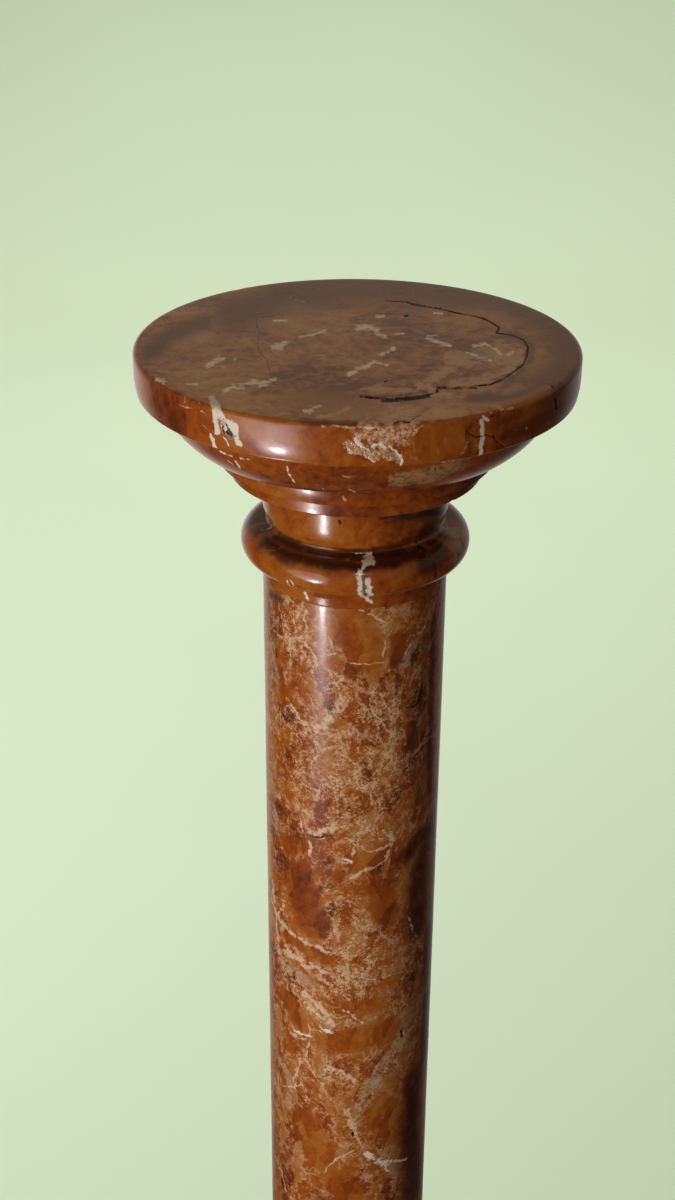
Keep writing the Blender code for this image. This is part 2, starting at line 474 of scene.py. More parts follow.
def turning_tree():
    """A Geometry Nodes tree that turns an outline about the Z axis and wears it a little."""
    tree = bpy.data.node_groups.new("turning", "GeometryNodeTree")
    face = tree.interface
    face.new_socket("Geometry", in_out="OUTPUT", socket_type="NodeSocketGeometry")
    kinds = {
        "Outline": "NodeSocketObject",
        "Sides": "NodeSocketInt",
        "Front Share": "NodeSocketFloat",
        "Waver": "NodeSocketFloat",
        "Nick Depth": "NodeSocketFloat",
        "Material": "NodeSocketMaterial",
    }
    for name, kind in kinds.items():
        face.new_socket(name, in_out="INPUT", socket_type=kind)
    entry = tree.nodes.new("NodeGroupInput")
    given = {name: Wire(tree, entry.outputs[name]) for name in kinds}
    w = Wire(tree)

    outline = w.node(
        "GeometryNodeObjectInfo", {"transform_space": "ORIGINAL"}, {"Object": given["Outline"]},
        "Geometry",
    )
    rows = w.node("GeometryNodeAttributeDomainSize", {"component": "MESH"}, {"Geometry": outline})
    grid = w.node(
        "GeometryNodeMeshGrid", {}, {"Vertices X": given["Sides"] + 1, "Vertices Y": rows}
    )
    index = w.node("GeometryNodeInputIndex")
    row = index.math("MODULO", index, rows)
    column = rows.math("FLOOR", index / rows)

    turn = (column / given["Sides"] - 0.5) * (2 * pi)
    turn = turn - turn.math("SINE", turn) * given["Front Share"]

    def on_outline(kind, value):
        """A value of the outline, read at this corner's row."""
        return w.node(
            "GeometryNodeSampleIndex", {"data_type": kind, "domain": "POINT"},
            {"Geometry": outline, "Value": value, "Index": row},
        )

    place = on_outline("FLOAT_VECTOR", w.node("GeometryNodeInputPosition"))
    radius, _, height = place.axes()
    turned = w.joined(
        X=radius * turn.math("SINE", turn), Y=radius * turn.math("COSINE", turn) * -1, Z=height
    )
    body = w.node("GeometryNodeSetPosition", {}, {"Geometry": grid, "Position": turned})
    arris = on_outline(
        "FLOAT", w.node("GeometryNodeInputNamedAttribute", {"data_type": "FLOAT"}, {"Name": "arris"})
    )
    body = w.node(
        "GeometryNodeStoreNamedAttribute", {"data_type": "FLOAT", "domain": "POINT"},
        {"Geometry": body, "Name": "arris", "Value": arris},
    )
    body = w.node("GeometryNodeMergeByDistance", {}, {"Geometry": body, "Distance": MERGE_GAP})

    here = w.node("GeometryNodeInputPosition")
    edge = w.node("GeometryNodeInputNamedAttribute", {"data_type": "FLOAT"}, {"Name": "arris"})
    waver = (here.noise(WAVER_SCALE, 1.0) - WAVER_LEVEL) * given["Waver"]
    chips = here.noise(NICK_SCALE, 2.0).smooth(*NICK_LEVELS)
    chips = chips * here.noise(NICK_PATCH_SCALE, 1.0).smooth(*NICK_PATCH_LEVELS)
    sink = chips * edge * given["Nick Depth"]
    normal = w.node("GeometryNodeInputNormal")
    across, away, _ = here.axes()
    outward = w.joined(X=across, Y=away)
    upright = normal.axes()[2]
    sideways = (1 - upright * upright).clamped()
    radial = outward.vector("NORMALIZE", outward).scaled(waver * sideways)
    inward = normal.scaled(sink)
    body = w.node(
        "GeometryNodeSetPosition", {}, {"Geometry": body, "Offset": radial.vector("ADD", radial, inward)}
    )
    body = w.node("GeometryNodeRealizeInstances", {}, {"Geometry": body})
    body = w.node("GeometryNodeSetMaterial", {}, {"Geometry": body, "Material": given["Material"]})
    leave = tree.nodes.new("NodeGroupOutput")
    tree.links.new(body.socket, leave.inputs["Geometry"])
    return tree


def turned_piece(name, outline, sides, material, tree):
    """One turned piece, with its place in its mesh."""
    points = filled(outline)
    line = bpy.data.meshes.new(name + "_outline")
    line.from_pydata([(r, 0.0, z) for r, z in points], [(i, i + 1) for i in range(len(points) - 1)], [])
    corners = [arris_share(points, i) for i in range(len(points))]
    shares = []
    for here in points:
        reach = [
            share * exp(-((hypot(here[0] - r, here[1] - z) / ARRIS_REACH) ** 2))
            for share, (r, z) in zip(corners, points)
            if share > 0
        ]
        shares.append(max(reach, default=0.0))
    line.attributes.new("arris", "FLOAT", "POINT").data.foreach_set("value", shares)
    guide = add_object(name + "_outline", line)

    piece = add_object(name, bpy.data.meshes.new(name + "_start"))
    modifier = piece.modifiers.new("turning", "NODES")
    modifier.node_group = tree
    wanted = {
        "Outline": guide, "Sides": sides, "Front Share": FRONT_SHARE, "Waver": WAVER,
        "Nick Depth": NICK_DEPTH, "Material": material,
    }
    for socket in tree.interface.items_tree:
        if socket.item_type == "SOCKET" and socket.name in wanted:
            modifier[socket.identifier] = wanted[socket.name]
    ready = piece.evaluated_get(bpy.context.evaluated_depsgraph_get())
    mesh = bpy.data.meshes.new_from_object(ready)
    piece.modifiers.clear()
    piece.data = mesh
    mesh.name = name
    bpy.data.objects.remove(guide)

    shape = bmesh.new()
    shape.from_mesh(mesh)
    bmesh.ops.recalc_face_normals(shape, faces=shape.faces[:])
    shape.to_mesh(mesh)
    shape.free()
    mesh.shade_smooth()
    mesh.set_sharp_from_angle(angle=radians(SHARP_ANGLE))
    return piece


# Where a pixel of the photograph lands


def landing(tree, pixel):
    """The point of a piece that a pixel of the photograph shows, and its distance."""
    right, up, forward = camera_axes()
    across = pixel[0] - PHOTO_WIDTH / 2
    down = pixel[1] - PHOTO_HEIGHT / 2
    sight = right * across - up * down + forward * LENS_PIXELS
    place, _, _, distance = tree.ray_cast(camera_place(), sight.normalized())
    if place is None:
        raise ValueError(f"pixel {pixel} misses the piece")
    return place, distance


def unroll(point, girth, squash):
    """A point on a drum as its distance round and its height, or elsewhere with its depth squashed."""
    if girth is None:
        return Vector((point.x, point.y * squash, point.z))
    return Vector((atan2(point.x, -point.y) * girth, point.z, 0.0))


def strokes(tree, stretch, marks, girth, squash):
    """The marks near a stretch as short strokes: two ends and a half width, in metres."""
    cut = []
    for width, *path in marks:
        for before, after in zip(path, path[1:]):
            ends = [landing(tree, pixel) for pixel in (before, after)]
            half = width / 2 * ends[0][1] / LENS_PIXELS
            points = [end[0] for end in ends]
            middle = (points[0] + points[1]) / 2
            reach = half / squash + MARK_MARGIN
            if stretch is None or any(stretch.find(point)[2] < reach for point in (*points, middle)):
                cut.append((*[unroll(point, girth, squash) for point in points], half))
    return cut


def carved(piece, solid, marks, girth, squash, depth, roughness):
    """Cut marks into a piece: its faces are made finer about them, then sunk along them."""
    lines = strokes(solid, None, marks.values(), girth, squash)
    samples = []
    for start, end, half in lines:
        steps = max(1, round((end - start).length / CARVE_STEP))
        samples += [(start.lerp(end, i / steps), half) for i in range(steps + 1)]
    tree = nearest_finder([place for place, _ in samples])

    def depth_inside(point):
        """How deep a point is inside the nearest mark, from 0 to 1, and its distance outside it."""
        _, index, gap = tree.find(unroll(point, girth, squash))
        return 1 - gap / samples[index][1], gap - samples[index][1]

    shape = bmesh.new()
    shape.from_mesh(piece.data)
    for level in range(CARVE_LEVELS):
        reach = CARVE_REACH / 2**level
        near = [face for face in shape.faces if depth_inside(face.calc_center_median())[1] < reach]
        edges = list({edge for face in near for edge in face.edges if edge.calc_length() > CARVE_FINEST})
        bmesh.ops.subdivide_edges(shape, edges=edges, cuts=1, use_grid_fill=True)
        many_sided = [face for face in shape.faces if len(face.verts) > 4]
        bmesh.ops.triangulate(shape, faces=many_sided)
    shape.normal_update()
    moves = []
    for corner in shape.verts:
        inside = depth_inside(corner.co)[0] + roughness * noise.noise(corner.co * CARVE_GRAIN)
        if inside > 0:
            share = min(1.0, inside / CARVE_SHOULDER)
            moves.append((corner, corner.normal * (-depth * share * share * (3 - 2 * share))))
    for corner, move in moves:
        corner.co += move
    shape.to_mesh(piece.data)
    shape.free()
    piece.data.set_sharp_from_angle(angle=radians(SHARP_ANGLE))


def stroke_group():
    """A node group that finds how deep a place is inside one stroke, or inside those before it."""
    tree = bpy.data.node_groups.new("stroke", "ShaderNodeTree")
    given = {name: "NodeSocketVector" for name in ("Place", "Start", "Pull", "Along")}
    given.update({name: "NodeSocketFloat" for name in ("Fall", "Before")})
    for name, kind in given.items():
        tree.interface.new_socket(name, in_out="INPUT", socket_type=kind)
    tree.interface.new_socket("Near", in_out="OUTPUT", socket_type="NodeSocketFloat")
    entry = tree.nodes.new("NodeGroupInput")
    place, start, pull, along, fall, before = [Wire(tree, entry.outputs[name]) for name in given]
    offset = place.vector("SUBTRACT", place, start)
    share = offset.vector("DOT_PRODUCT", offset, pull, output=1).clamped()
    offset = offset.vector("ADD", offset, along.scaled(share))
    gap = offset.vector("LENGTH", offset, output=1)
    near = gap.math("MULTIPLY_ADD", gap, fall, 1.0).most(before)
    leave = tree.nodes.new("NodeGroupOutput")
    tree.links.new(near.socket, leave.inputs["Near"])
    return tree


def nearness(place, marks):
    """How deep a place is inside the nearest stroke: 1 on its line, 0 at its edge, less outside."""
    group = bpy.data.node_groups.get("stroke") or stroke_group()
    best = place.math("ADD", FAR_OUTSIDE, 0.0)
    for start, end, half in marks:
        along = end - start
        pull = along / max(along.length_squared, SHORTEST**2)
        sockets = {
            "Place": place, "Start": start, "Pull": pull, "Along": -along, "Fall": -1 / half,
            "Before": best,
        }
        best = place.node("ShaderNodeGroup", {"node_tree": group}, sockets)
    return best


# Colours of the stone, in linear light

ORANGE = (0.330, 0.080, 0.006, 1)
AMBER = (0.400, 0.135, 0.018, 1)
RUST = (0.240, 0.050, 0.007, 1)
DARK_RED = (0.120, 0.026, 0.007, 1)
RED_BLACK = (0.050, 0.010, 0.005, 1)
BROWN_BLACK = (0.040, 0.012, 0.004, 1)
OCHRE = (0.370, 0.130, 0.012, 1)
TAN = (0.440, 0.210, 0.080, 1)
OLIVE = (0.200, 0.110, 0.038, 1)
PINK_TAN = (0.500, 0.240, 0.120, 1)
PALE_PINK = (0.600, 0.330, 0.210, 1)
CREAM = (0.680, 0.480, 0.310, 1)
WHITE = (0.800, 0.720, 0.580, 1)
BLACK = (0.010, 0.007, 0.005, 1)
SLATE = (0.030, 0.032, 0.036, 1)
GREEN_BLACK = (0.018, 0.026, 0.018, 1)
GREY_GREEN = (0.160, 0.130, 0.090, 1)
GREY_TAN = (0.230, 0.130, 0.062, 1)
# The colour of the painted reflection on the torus's right cheek
CHEEK_REFLECTION = (0.360, 0.300, 0.170, 1)
DUST = (0.460, 0.210, 0.065, 1)
PALE_DUST = (0.680, 0.470, 0.260, 1)
GREY_DUST = (0.420, 0.310, 0.190, 1)
CAP_DARK_BROWN = (0.190, 0.070, 0.026, 1)
# The colour of the painted shade on the top's flat face
CAP_SHADOW_TINT = (0.120, 0.044, 0.018, 1)
CAP_MAUVE = (0.340, 0.145, 0.055, 1)
CAP_BROWN = (0.450, 0.205, 0.065, 1)
CAP_UMBER = (0.530, 0.265, 0.090, 1)
CAP_SAND = (0.600, 0.370, 0.170, 1)
CAP_PALE = (0.950, 0.840, 0.640, 1)

# Polish: roughness, coat and coat roughness, then what smears and worn spots add to the roughness

CAP_POLISH = (0.26, 0.35, 0.10)
NECK_POLISH = (0.20, 0.45, 0.05)
SHAFT_POLISH = (0.30, 0.30, 0.11)
STONE_SPECULAR = 0.35
COAT_IOR = 1.45
SMEAR_SCALE = 26.0
SMEAR_SPREAD = 0.10
DULL_SPREAD = 0.14

# Relief too fine for the meshes

BUMP_STRENGTH = 0.5
BUMP_DEPTH = 0.0006
WAVE_SCALE = 48.0
WAVE_HEIGHT = 0.6
GRAIN_HEIGHT = 0.16
HOLLOW_DEPTH = 1.2

# Noise in the stone: scale, detail and roughness, from the coarsest to the finest

CLOUDS = (14.0, 4.0, 0.6)
STREAKS = (20.0, 5.0, 0.62)
MOTTLE = (110.0, 4.0, 0.68)
GRAIN = (330.0, 4.0, 0.65)
POWDER = (700.0, 3.0, 0.7)

# Noise that pushes places about: the scale and reach of the widest push, and the scales of the others

WIDE_TEAR = (9.0, 0.045)
FINE_TEAR_SCALE = 45.0
LOOSE_SCALE = 60.0
RAG_SCALE = 420.0

# The shaft's fragments and streaks, and how level a place on the top is where it is brown, partly as a
# painted reflection

FRAGMENT_SCALE = 85.0
STREAK_TURN = (0, 35, 0)
LEVEL_FADE = (0.80, 0.99)

# How the stone is shared out: the shaft's in stretches from the top's upper face down, and the top's
# at a line that lies this share of its upper round in from the rim

SHAFT_STRETCHES = 5
STRETCH_LENGTH = 0.21
FACE_MARGIN = 0.6

# The stage: x across, y away from the camera, z up, in metres

FLOOR_FRONT = -4.0
BACKDROP = 4.6
COVE_RADIUS = 1.4
COVE_STEPS = 24
BACKDROP_HEIGHT = 1.5
STAGE_HALF = 5.0
FLOOR_COLOUR = (0.67, 0.83, 0.62, 1)
FLOOR_ROUGHNESS = 0.9
FLOOR_SPECULAR = 0.1
CLOUDING_SCALE = 1.3
CLOUDING_SHADE = 0.97

# Lights: name, place, target, size, brightness and colour

OBJECT_LIGHTS = [
    ("window_core", (-0.73, -0.89, 0.38), (0.0, 0.0, 1.0), (0.13, 0.13), 100.0, (1.0, 0.97, 0.98)),
    ("window_low", (-0.73, -0.89, 0.28), (0.0, 0.0, 0.9), (0.20, 0.08), 9.0, (0.86, 0.82, 1.0)),
    ("window_glow", (-0.80, -0.95, 0.45), (0.0, 0.0, 0.9), (0.36, 0.26), 4.0, (0.98, 0.86, 1.0)),
    ("window_haze", (-0.88, -0.98, 0.55), (0.0, 0.0, 0.9), (0.66, 0.60), 1.9, (1.0, 0.90, 0.92)),
    ("window_wide", (-1.10, -1.10, 0.86), (0.0, 0.0, 0.8), (1.20, 1.10), 2.0, (1.0, 0.92, 0.84)),
    ("upper_lamp", (0.15, -1.70, 2.25), (0.0, 0.0, 1.0), (0.30, 0.30), 12.0, (1.0, 0.97, 0.94)),
]
STAGE_LIGHTS = [
    ("stage_wash", (0.0, 2.8, 3.4), (0.0, 2.8, 0.0), (5.0, 3.6), 2.6, (1.0, 1.0, 0.96)),
    ("stage_near", (-1.2, 0.2, 1.9), (-0.7, 0.4, 0.0), (1.6, 1.0), 4.6, (0.99, 1.0, 1.08)),
]

# The room: its colours below and above the horizon and straight behind, and how each fades

ROOM_LOW = (0.030, 0.024, 0.020, 1)
ROOM_HIGH = (0.24, 0.18, 0.13, 1)
ROOM_RIM = (0.85, 0.80, 0.72, 1)
HORIZON_FADE = (-0.1, 0.35)
RIM_FADE = (0.45, 0.95)
RIM_SIDE_FADE = (-0.2, 0.5)
RIM_SIDE_LOSS = 0.6

# The straight side of the grey block in the ovolo, in pixels of the photograph, and how far to either
# side of it the block fades, in metres

GREY_BLOCK_SIDE = (389, 480)
GREY_BLOCK_EDGE = 0.001

# Marks on the stone, and painted shade, highlights and reflections, each a width and a path in pixels of
# the photograph

CAP_TAN = {
    "middle of the tan zone": (17, (452, 362), (470, 357), (488, 355), (512, 357)),
    "foot of the tan zone": (11, (420, 388), (438, 374), (458, 366)),
    "right side of the zone": (9, (500, 345), (519, 349), (520, 362), (505, 373), (480, 381), (452, 385)),
    "pale band at the front": (6, (362, 391), (392, 388), (420, 392), (450, 395)),
}
CAP_GREY = {
    "grey-green stain": (11, (404, 318), (412, 312), (428, 304)),
    "stain running down": (6, (407, 320), (424, 331), (440, 339)),
    "smudge in the zone": (7, (462, 345), (478, 353), (492, 357)),
    "streak down to the edge": (6, (504, 389), (495, 394), (490, 401), (488, 407)),
    "shadow by the arris": (6, (413, 416), (424, 407)),
    "faint line at the right": (3, (528, 334), (540, 332), (550, 329)),
    "patch at the back": (4, (435, 297), (459, 292), (480, 294)),
}
CAP_CREAM = {
    "left blotch": (4.5, (208, 365), (214, 362), (222, 359)),
    "left blotch, tail": (1.3, (218, 366), (224, 367)),
    "left speck": (2.6, (234, 359), (235.5, 359.5)),
    "long blotch, left": (4.5, (224, 392), (231, 387.5), (243, 386)),
    "long blotch, right": (3.6, (243, 386), (252, 382), (262, 383), (274, 380)),
    "long blotch, spur": (3, (261, 386), (268, 385)),
    "edge blotch": (4, (156, 380), (165, 382)),
    "edge dash": (1.6, (187, 384), (197, 384)),
    "middle blotch": (5.5, (274, 347), (280, 346.5), (286, 342)),
    "middle blotch, arm": (2.6, (286, 342), (293, 340.5)),
    "middle streak": (1.8, (299, 337), (312, 335), (327, 330)),
    "back dash": (1.8, (274, 321), (286, 321)),
    "front curl": (3, (303, 411), (309, 411.5), (313, 408.5), (320, 406.5)),
    "right blotch, top": (5, (358, 328.5), (363, 327), (370, 328.5), (378, 330.5)),
    "right blotch, foot": (4, (374, 330), (377, 334), (385, 336)),
    "right blotch, thread": (1.2, (385, 335.5), (404, 333.5)),
    "back speck": (2.8, (377, 315.5), (383, 316)),
    "centre dash": (3.6, (382, 353.5), (388, 351.5), (394.5, 349)),
    "bird, left wing": (3.6, (349, 375), (356, 370), (366, 366), (374, 362)),
    "bird, right wing": (3, (374, 362), (387, 365.5)),
    "zone vein": (3.4, (428, 338), (434, 340.5), (450, 346)),
    "zone vein, tip": (2, (428, 336), (437, 336)),
    "zone crumbs": (2.6, (473, 346), (485, 344), (495, 349), (500, 354)),
    "zone crumb": (2.2, (507, 354.5), (513, 352)),
    "zone grain": (2.5, (466, 352), (478, 357), (490, 360)),
    "back sliver": (2.6, (434, 313), (442, 313.5)),
}
CAP_FAINT = {
    "front veil": (5, (318, 416), (327, 415), (338, 414), (348, 406.5)),
    "grey crumbs": (3.5, (318, 355), (325, 356)),
    "pebble at the crack": (9, (418, 384), (426, 387), (433, 390)),
    "upper patch": (7, (384, 420), (392, 416), (401, 412)),
    "dashes at the front": (2, (306, 405.5), (312, 405)),
    "back streak": (2, (291, 298), (303, 301.5)),
}
# Painted shade: darker bands at the back, the sides and the right of the top's flat face
CAP_PAINTED_SHADE = {
    "back": (34, (235, 312), (290, 294), (350, 286), (430, 286), (500, 300)),
    "back right": (30, (500, 300), (540, 315), (566, 335)),
    "right": (40, (560, 330), (574, 350), (572, 372), (550, 390)),
    "front right": (8, (470, 398), (505, 398), (540, 388)),
    "left": (16, (150, 352), (172, 334), (205, 322)),
    "ring": (8, (512, 335), (530, 345), (528, 362), (510, 378)),
}
# Painted light: the front of the top's flat face made paler
CAP_PAINTED_LIGHT = {"front": (22, (290, 398), (320, 404), (372, 408))}
CAP_DARK = {
    "old joint": (1.6, (256, 316), (258, 330), (258, 349)),
    "old joint, foot": (1.3, (258, 349), (268, 362), (271, 376)),
    "back line": (1.8, (261, 317), (276, 316), (291, 313)),
    "grain line": (1.2, (392, 375), (416, 375)),
    "back shade": (3, (270, 296), (292, 292)),
    "shade by the gash": (4, (376, 396), (400, 395.5), (426, 391)),
}
CAP_CRACK = {
    "arc, start": (1.1, (386, 301), (405, 302)),
    "arc, back": (2.6, (407, 302.5), (413, 304.5), (425, 306.5)),
    "arc, thin": (1.7, (425, 306.5), (440, 309), (454, 312.5), (468, 315), (482, 318)),
    "arc, kink": (2.4, (482, 318), (494, 324), (499.5, 328), (496.5, 333)),
    "arc, side": (1.6, (496.5, 333), (512, 335.5), (524, 340.5), (528, 347), (527, 356)),
    "arc, return": (1.8, (527, 356), (523, 365), (512, 373), (502, 380), (490, 384.5), (476, 386)),
    "arc, front": (3, (476, 388), (464, 388), (452, 388.5), (438, 388)),
    "gash, upper": (3, (361, 396.5), (373, 398), (385, 398.5)),
    "gash": (4.6, (383, 400.3), (397, 400), (413, 398.5), (429, 396)),
    "gash, end": (2, (429, 395.5), (437, 392), (438, 387)),
    "pit": (2.4, (405, 316.5), (408, 316)),
    "small pit": (1.6, (385, 382), (387, 381)),
}
SLAB_WHITE = {
    "eye vein, head": (8, (211.5, 399), (215.5, 407), (219.5, 414)),
    "eye vein, body": (12, (220, 416), (226, 423)),
    "eye vein, belly": (18, (228, 426), (231, 431)),
    "eye vein, right": (8, (236, 427), (238, 436), (238, 442)),
    "eye vein, tail": (5.5, (238.5, 440), (241.5, 445)),
    "eye vein, left wall": (7.5, (214.5, 411), (215.8, 422), (218, 433)),
    "eye vein, foot": (2.4, (223, 437), (225.5, 440), (227.5, 444.5)),
    "left branch": (6, (211, 435.5), (213.3, 441), (214.6, 447)),
    "right vein": (5.5, (481.3, 421), (483, 430), (482.4, 439), (481.3, 445), (481, 454)),
    "right vein, head": (3, (483.5, 417), (488.5, 421)),
    "ledge marks": (3, (220.5, 452), (226, 453.6), (232.4, 457)),
    "ledge dash": (2.4, (240.5, 458.2), (247.8, 458.6)),
    "ovolo mark": (3.6, (237, 462), (240, 468)),
    "ovolo thread": (1.5, (228, 460.5), (234, 465.5)),
    "ovolo vein": (3, (286.5, 464), (290.5, 473.5), (295, 482.5)),
    "lip at the patch": (1.5, (437, 462.8), (456, 460)),
}
SLAB_CRUST = {
    "left lobe": (10, (348, 445), (351, 447), (353.5, 451)),
    "under the hook": (9, (357, 449), (366, 455), (376, 457)),
    "middle": (13, (374, 448), (386, 452), (393, 456)),
    "right lobe": (8, (396, 455), (399, 461)),
}
SLAB_DUST_AND_HIGHLIGHT = {
    "above the hook": (17, (366, 434), (382, 436), (400, 436)),
    "over the arris": (12, (364, 426), (383, 423), (402, 417)),
    "right of the hook": (14, (402, 430), (412, 426)),
    "lip": (2.2, (416, 420.5), (424, 420), (437, 421.5)),
    # Painted highlight: a bright line along the front arris
    "arris light": (1.6, (332, 426), (350, 427.4), (378, 428)),
}
SLAB_CRUST_WHITE_AND_HIGHLIGHT = {
    "hook": (4.2, (355.8, 438.7), (358.6, 444), (363.6, 448.5), (370, 450.3)),
    "crest": (5, (374.7, 446.4), (381, 444), (387, 448.5)),
    "right hook": (3, (391, 447.6), (398, 453), (402, 457.6), (401.3, 463), (399, 466)),
    "left edge": (2.6, (346, 443), (348, 449), (352, 454.6)),
    "lower edge": (2, (360, 454), (368, 458), (374.7, 461)),
    # Painted highlight on the front arris
    "bright arris": (1.3, (360, 427.8), (376, 428.2)),
}
SLAB_HOLE = {"orange island": (6, (363.5, 441), (367, 443))}
SLAB_EYE = {
    "lens": (3.8, (223, 420.5), (226, 425), (229, 430)),
    "lens, left": (2.2, (222.6, 425), (224, 433)),
    "core": (8.4, (228.5, 433), (231, 436)),
    "core, right": (4.6, (230, 432.5), (235, 435)),
}
SLAB_BLACK = {
    "fold by the edge": (4, (552, 387), (555, 399), (556, 410)),
    "fine crack": (
        1.4, (364.7, 432), (374.7, 430.3), (382.4, 429.8), (390, 426), (400, 421.4), (405, 422),
    ),
    "fine crack, knot": (2.4, (405, 422), (410, 422.5)),
    "fine crack, end": (1.4, (410, 422.5), (413.6, 418.7), (420, 415.3)),
    "red spot": (3, (467, 431.5), (469, 432.5)),
    "right crack": (1.9, (469, 433), (475.8, 438), (481.3, 436), (486.9, 434.8)),
    "right crack, thick": (3, (486.9, 434.8), (491.3, 437), (493, 438)),
    "right crack, end": (1.6, (493, 438), (498, 442), (505, 448)),
    "edge crumbs": (1.6, (491, 417), (503, 411), (514, 412)),
    "heart of the eye": (3.6, (228.8, 433), (230, 434)),
    "crack by the grey block": (1.2, (435.2, 455), (436, 470)),
}
SLAB_PINK = {
    "streak": (1.5, (179, 405), (187, 407), (197, 410), (205, 413)),
    "curl": (1.4, (185, 401), (186, 397)),
    "upper streak": (1.4, (197, 403), (201.5, 407)),
    "dash": (1.4, (202, 424), (207.5, 428)),
    "speck on the arris": (3.2, (324, 426), (325, 426.5)),
    "crumb": (2.6, (491, 413), (492, 413)),
    "second crumb": (2.6, (501, 409.5), (512, 409)),
    "spark": (2, (526, 428.5), (527, 428.5)),
    "thread": (1.1, (469, 440), (465, 447), (461.5, 454)),
    "bead mark": (2, (344, 496.5), (346.3, 503.5)),
    "ovolo marks": (2, (344, 475.5), (349, 477)),
    "lower ovolo marks": (2, (348.5, 489.5), (355.5, 492)),
    "ovolo thread": (1.4, (312, 484.5), (319, 486)),
}
SLAB_GLOW = {
    "pale spot": (5, (400, 441), (401, 445)),
    "pale grain": (6, (407, 432), (411, 456)),
    "second grain": (5, (416, 433), (416, 459)),
    "third grain": (5, (443, 430), (446, 444)),
    "fourth grain": (4, (437, 440), (438, 456)),
    "grain left of the vein": (5, (476.5, 441), (477.5, 454.5)),
}
SLAB_OCHRE = {
    "right shoulder": (16, (505, 410), (528, 400), (546, 390)),
    "left shoulder": (10, (236, 415), (262, 421), (300, 425)),
}
# Deep red in the stone, and painted shade along the slab's right side and its right end
SLAB_DEEP_RED_AND_SHADE = {
    "red block": (12, (469, 430), (469, 452)),
    "red band": (9, (300, 421), (340, 425), (356, 425)),
    "shade right": (22, (508, 434), (536, 424), (560, 408)),
    "right end": (16, (566, 396), (578, 376)),
    "shade behind the fold": (11, (562, 386), (565, 398), (562, 410)),
}
OVOLO_GREY = {
    "grey-tan block": (30, (395, 480), (420, 477), (440, 473)),
    "its end": (22, (440, 472), (462, 464)),
}

NECK_WHITE_AND_HIGHLIGHTS = {
    "vein, top": (5, (371, 554.5), (370, 560), (365, 564)),
    "vein, waist": (3, (365, 564), (363.5, 569)),
    "vein, left": (4.6, (360, 572.5), (358.8, 578), (359.4, 588), (361, 595)),
    "vein, right": (6, (365.5, 581), (368.8, 588.8), (370, 596)),
    "vein, foot": (5, (361, 595), (367.5, 600), (372, 602.5)),
    "triangle": (1.2, (287, 580), (289.4, 585.6), (297, 588)),
    "triangle, side": (1.0, (290, 579.4), (293.8, 585.6)),
    "collar patch": (3.2, (305, 593), (308, 600)),
    # Painted reflection: a pale streak along the neck's left edge
    "streak by the edge": (2.4, (266, 510), (270, 528)),
    # Painted highlight: a bright line where the neck meets the torus
    "line over the groove": (1.4, (355, 554), (371, 553.6)),
}
NECK_GREEN = {
    "heart of the vein": (2.6, (363, 577), (363, 588), (364.5, 593)),
    # Painted reflection: grey-green at the edge of the torus's right cheek
    "edge of the cheek": (8, (461, 540), (464, 552)),
}
# Painted shadow: black under the fillet at the right, and in the back corners where the neck meets the
# torus
NECK_PAINTED_SHADOW = {
    "black wedge, tip": (4, (380, 519), (402, 517)),
    "black wedge": (10, (402, 517), (425, 514.5), (446, 509)),
    "dark left back": (22, (249, 522), (262, 512)),
    "black fold": (9, (262, 526), (264, 531)),
    "dark right back": (18, (455, 513), (462, 522)),
}
NECK_CRACK = {
    "crack": (1.6, (417, 537), (418, 545), (423, 550), (429, 556)),
    "crack, lower": (2.2, (429, 556), (435, 565), (435.5, 577)),
    "nick in the neck": (1.8, (339.5, 521), (340.5, 524)),
}
# Painted shade: the upper side of the torus under the overhang, and the neck and torus at their right
NECK_PAINTED_SHADE = {
    "upper torus, left": (12, (266, 541), (282, 551), (300, 557)),
    "upper torus": (15, (300, 557), (330, 562), (362, 563)),
    "upper torus, right": (9, (362, 563), (395, 561), (425, 552)),
    "right end": (18, (426, 566), (444, 550)),
    "right of the neck": (22, (424, 532), (440, 528)),
}
# Painted reflection: a grey-olive sheen on the torus's right cheek
NECK_PAINTED_REFLECTION = {
    "right cheek": (16, (456, 530), (460, 545), (456, 560)),
}

SHAFT_OLIVE = {
    "right side": (20, (428, 625), (420, 660), (424, 700), (415, 740), (420, 790)),
    "dark streak": (5, (359, 800), (370, 798), (380, 795)),
    "under the rim, left": (12, (266, 612), (275, 640)),
    "below the long lens": (20, (280, 965), (296, 985)),
}
SHAFT_PINK_ZONES = {
    "upper left": (34, (292, 618), (294, 650)),
    "under it": (24, (314, 668), (330, 680)),
    "long band": (9, (350, 699), (330, 715), (312, 729), (320, 740)),
    "breccia": (66, (312, 745), (335, 775), (330, 800)),
    "breccia, right": (44, (382, 712), (384, 760), (370, 800)),
    "breccia, foot": (24, (330, 825), (365, 828), (385, 838)),
    "left foot": (26, (284, 960), (296, 985)),
    "grain column": (24, (304, 994), (318, 1010), (330, 1026)),
    "lower middle": (20, (330, 1072), (356, 1078)),
    "diagonal": (14, (424, 1008), (406, 1030), (398, 1049), (378, 1081), (362, 1108)),
    "right of the left clast": (16, (330, 892), (340, 925), (346, 950)),
    "grain middle": (40, (352, 935), (362, 960), (345, 985)),
    "right middle": (14, (410, 900), (416, 940), (410, 970)),
}
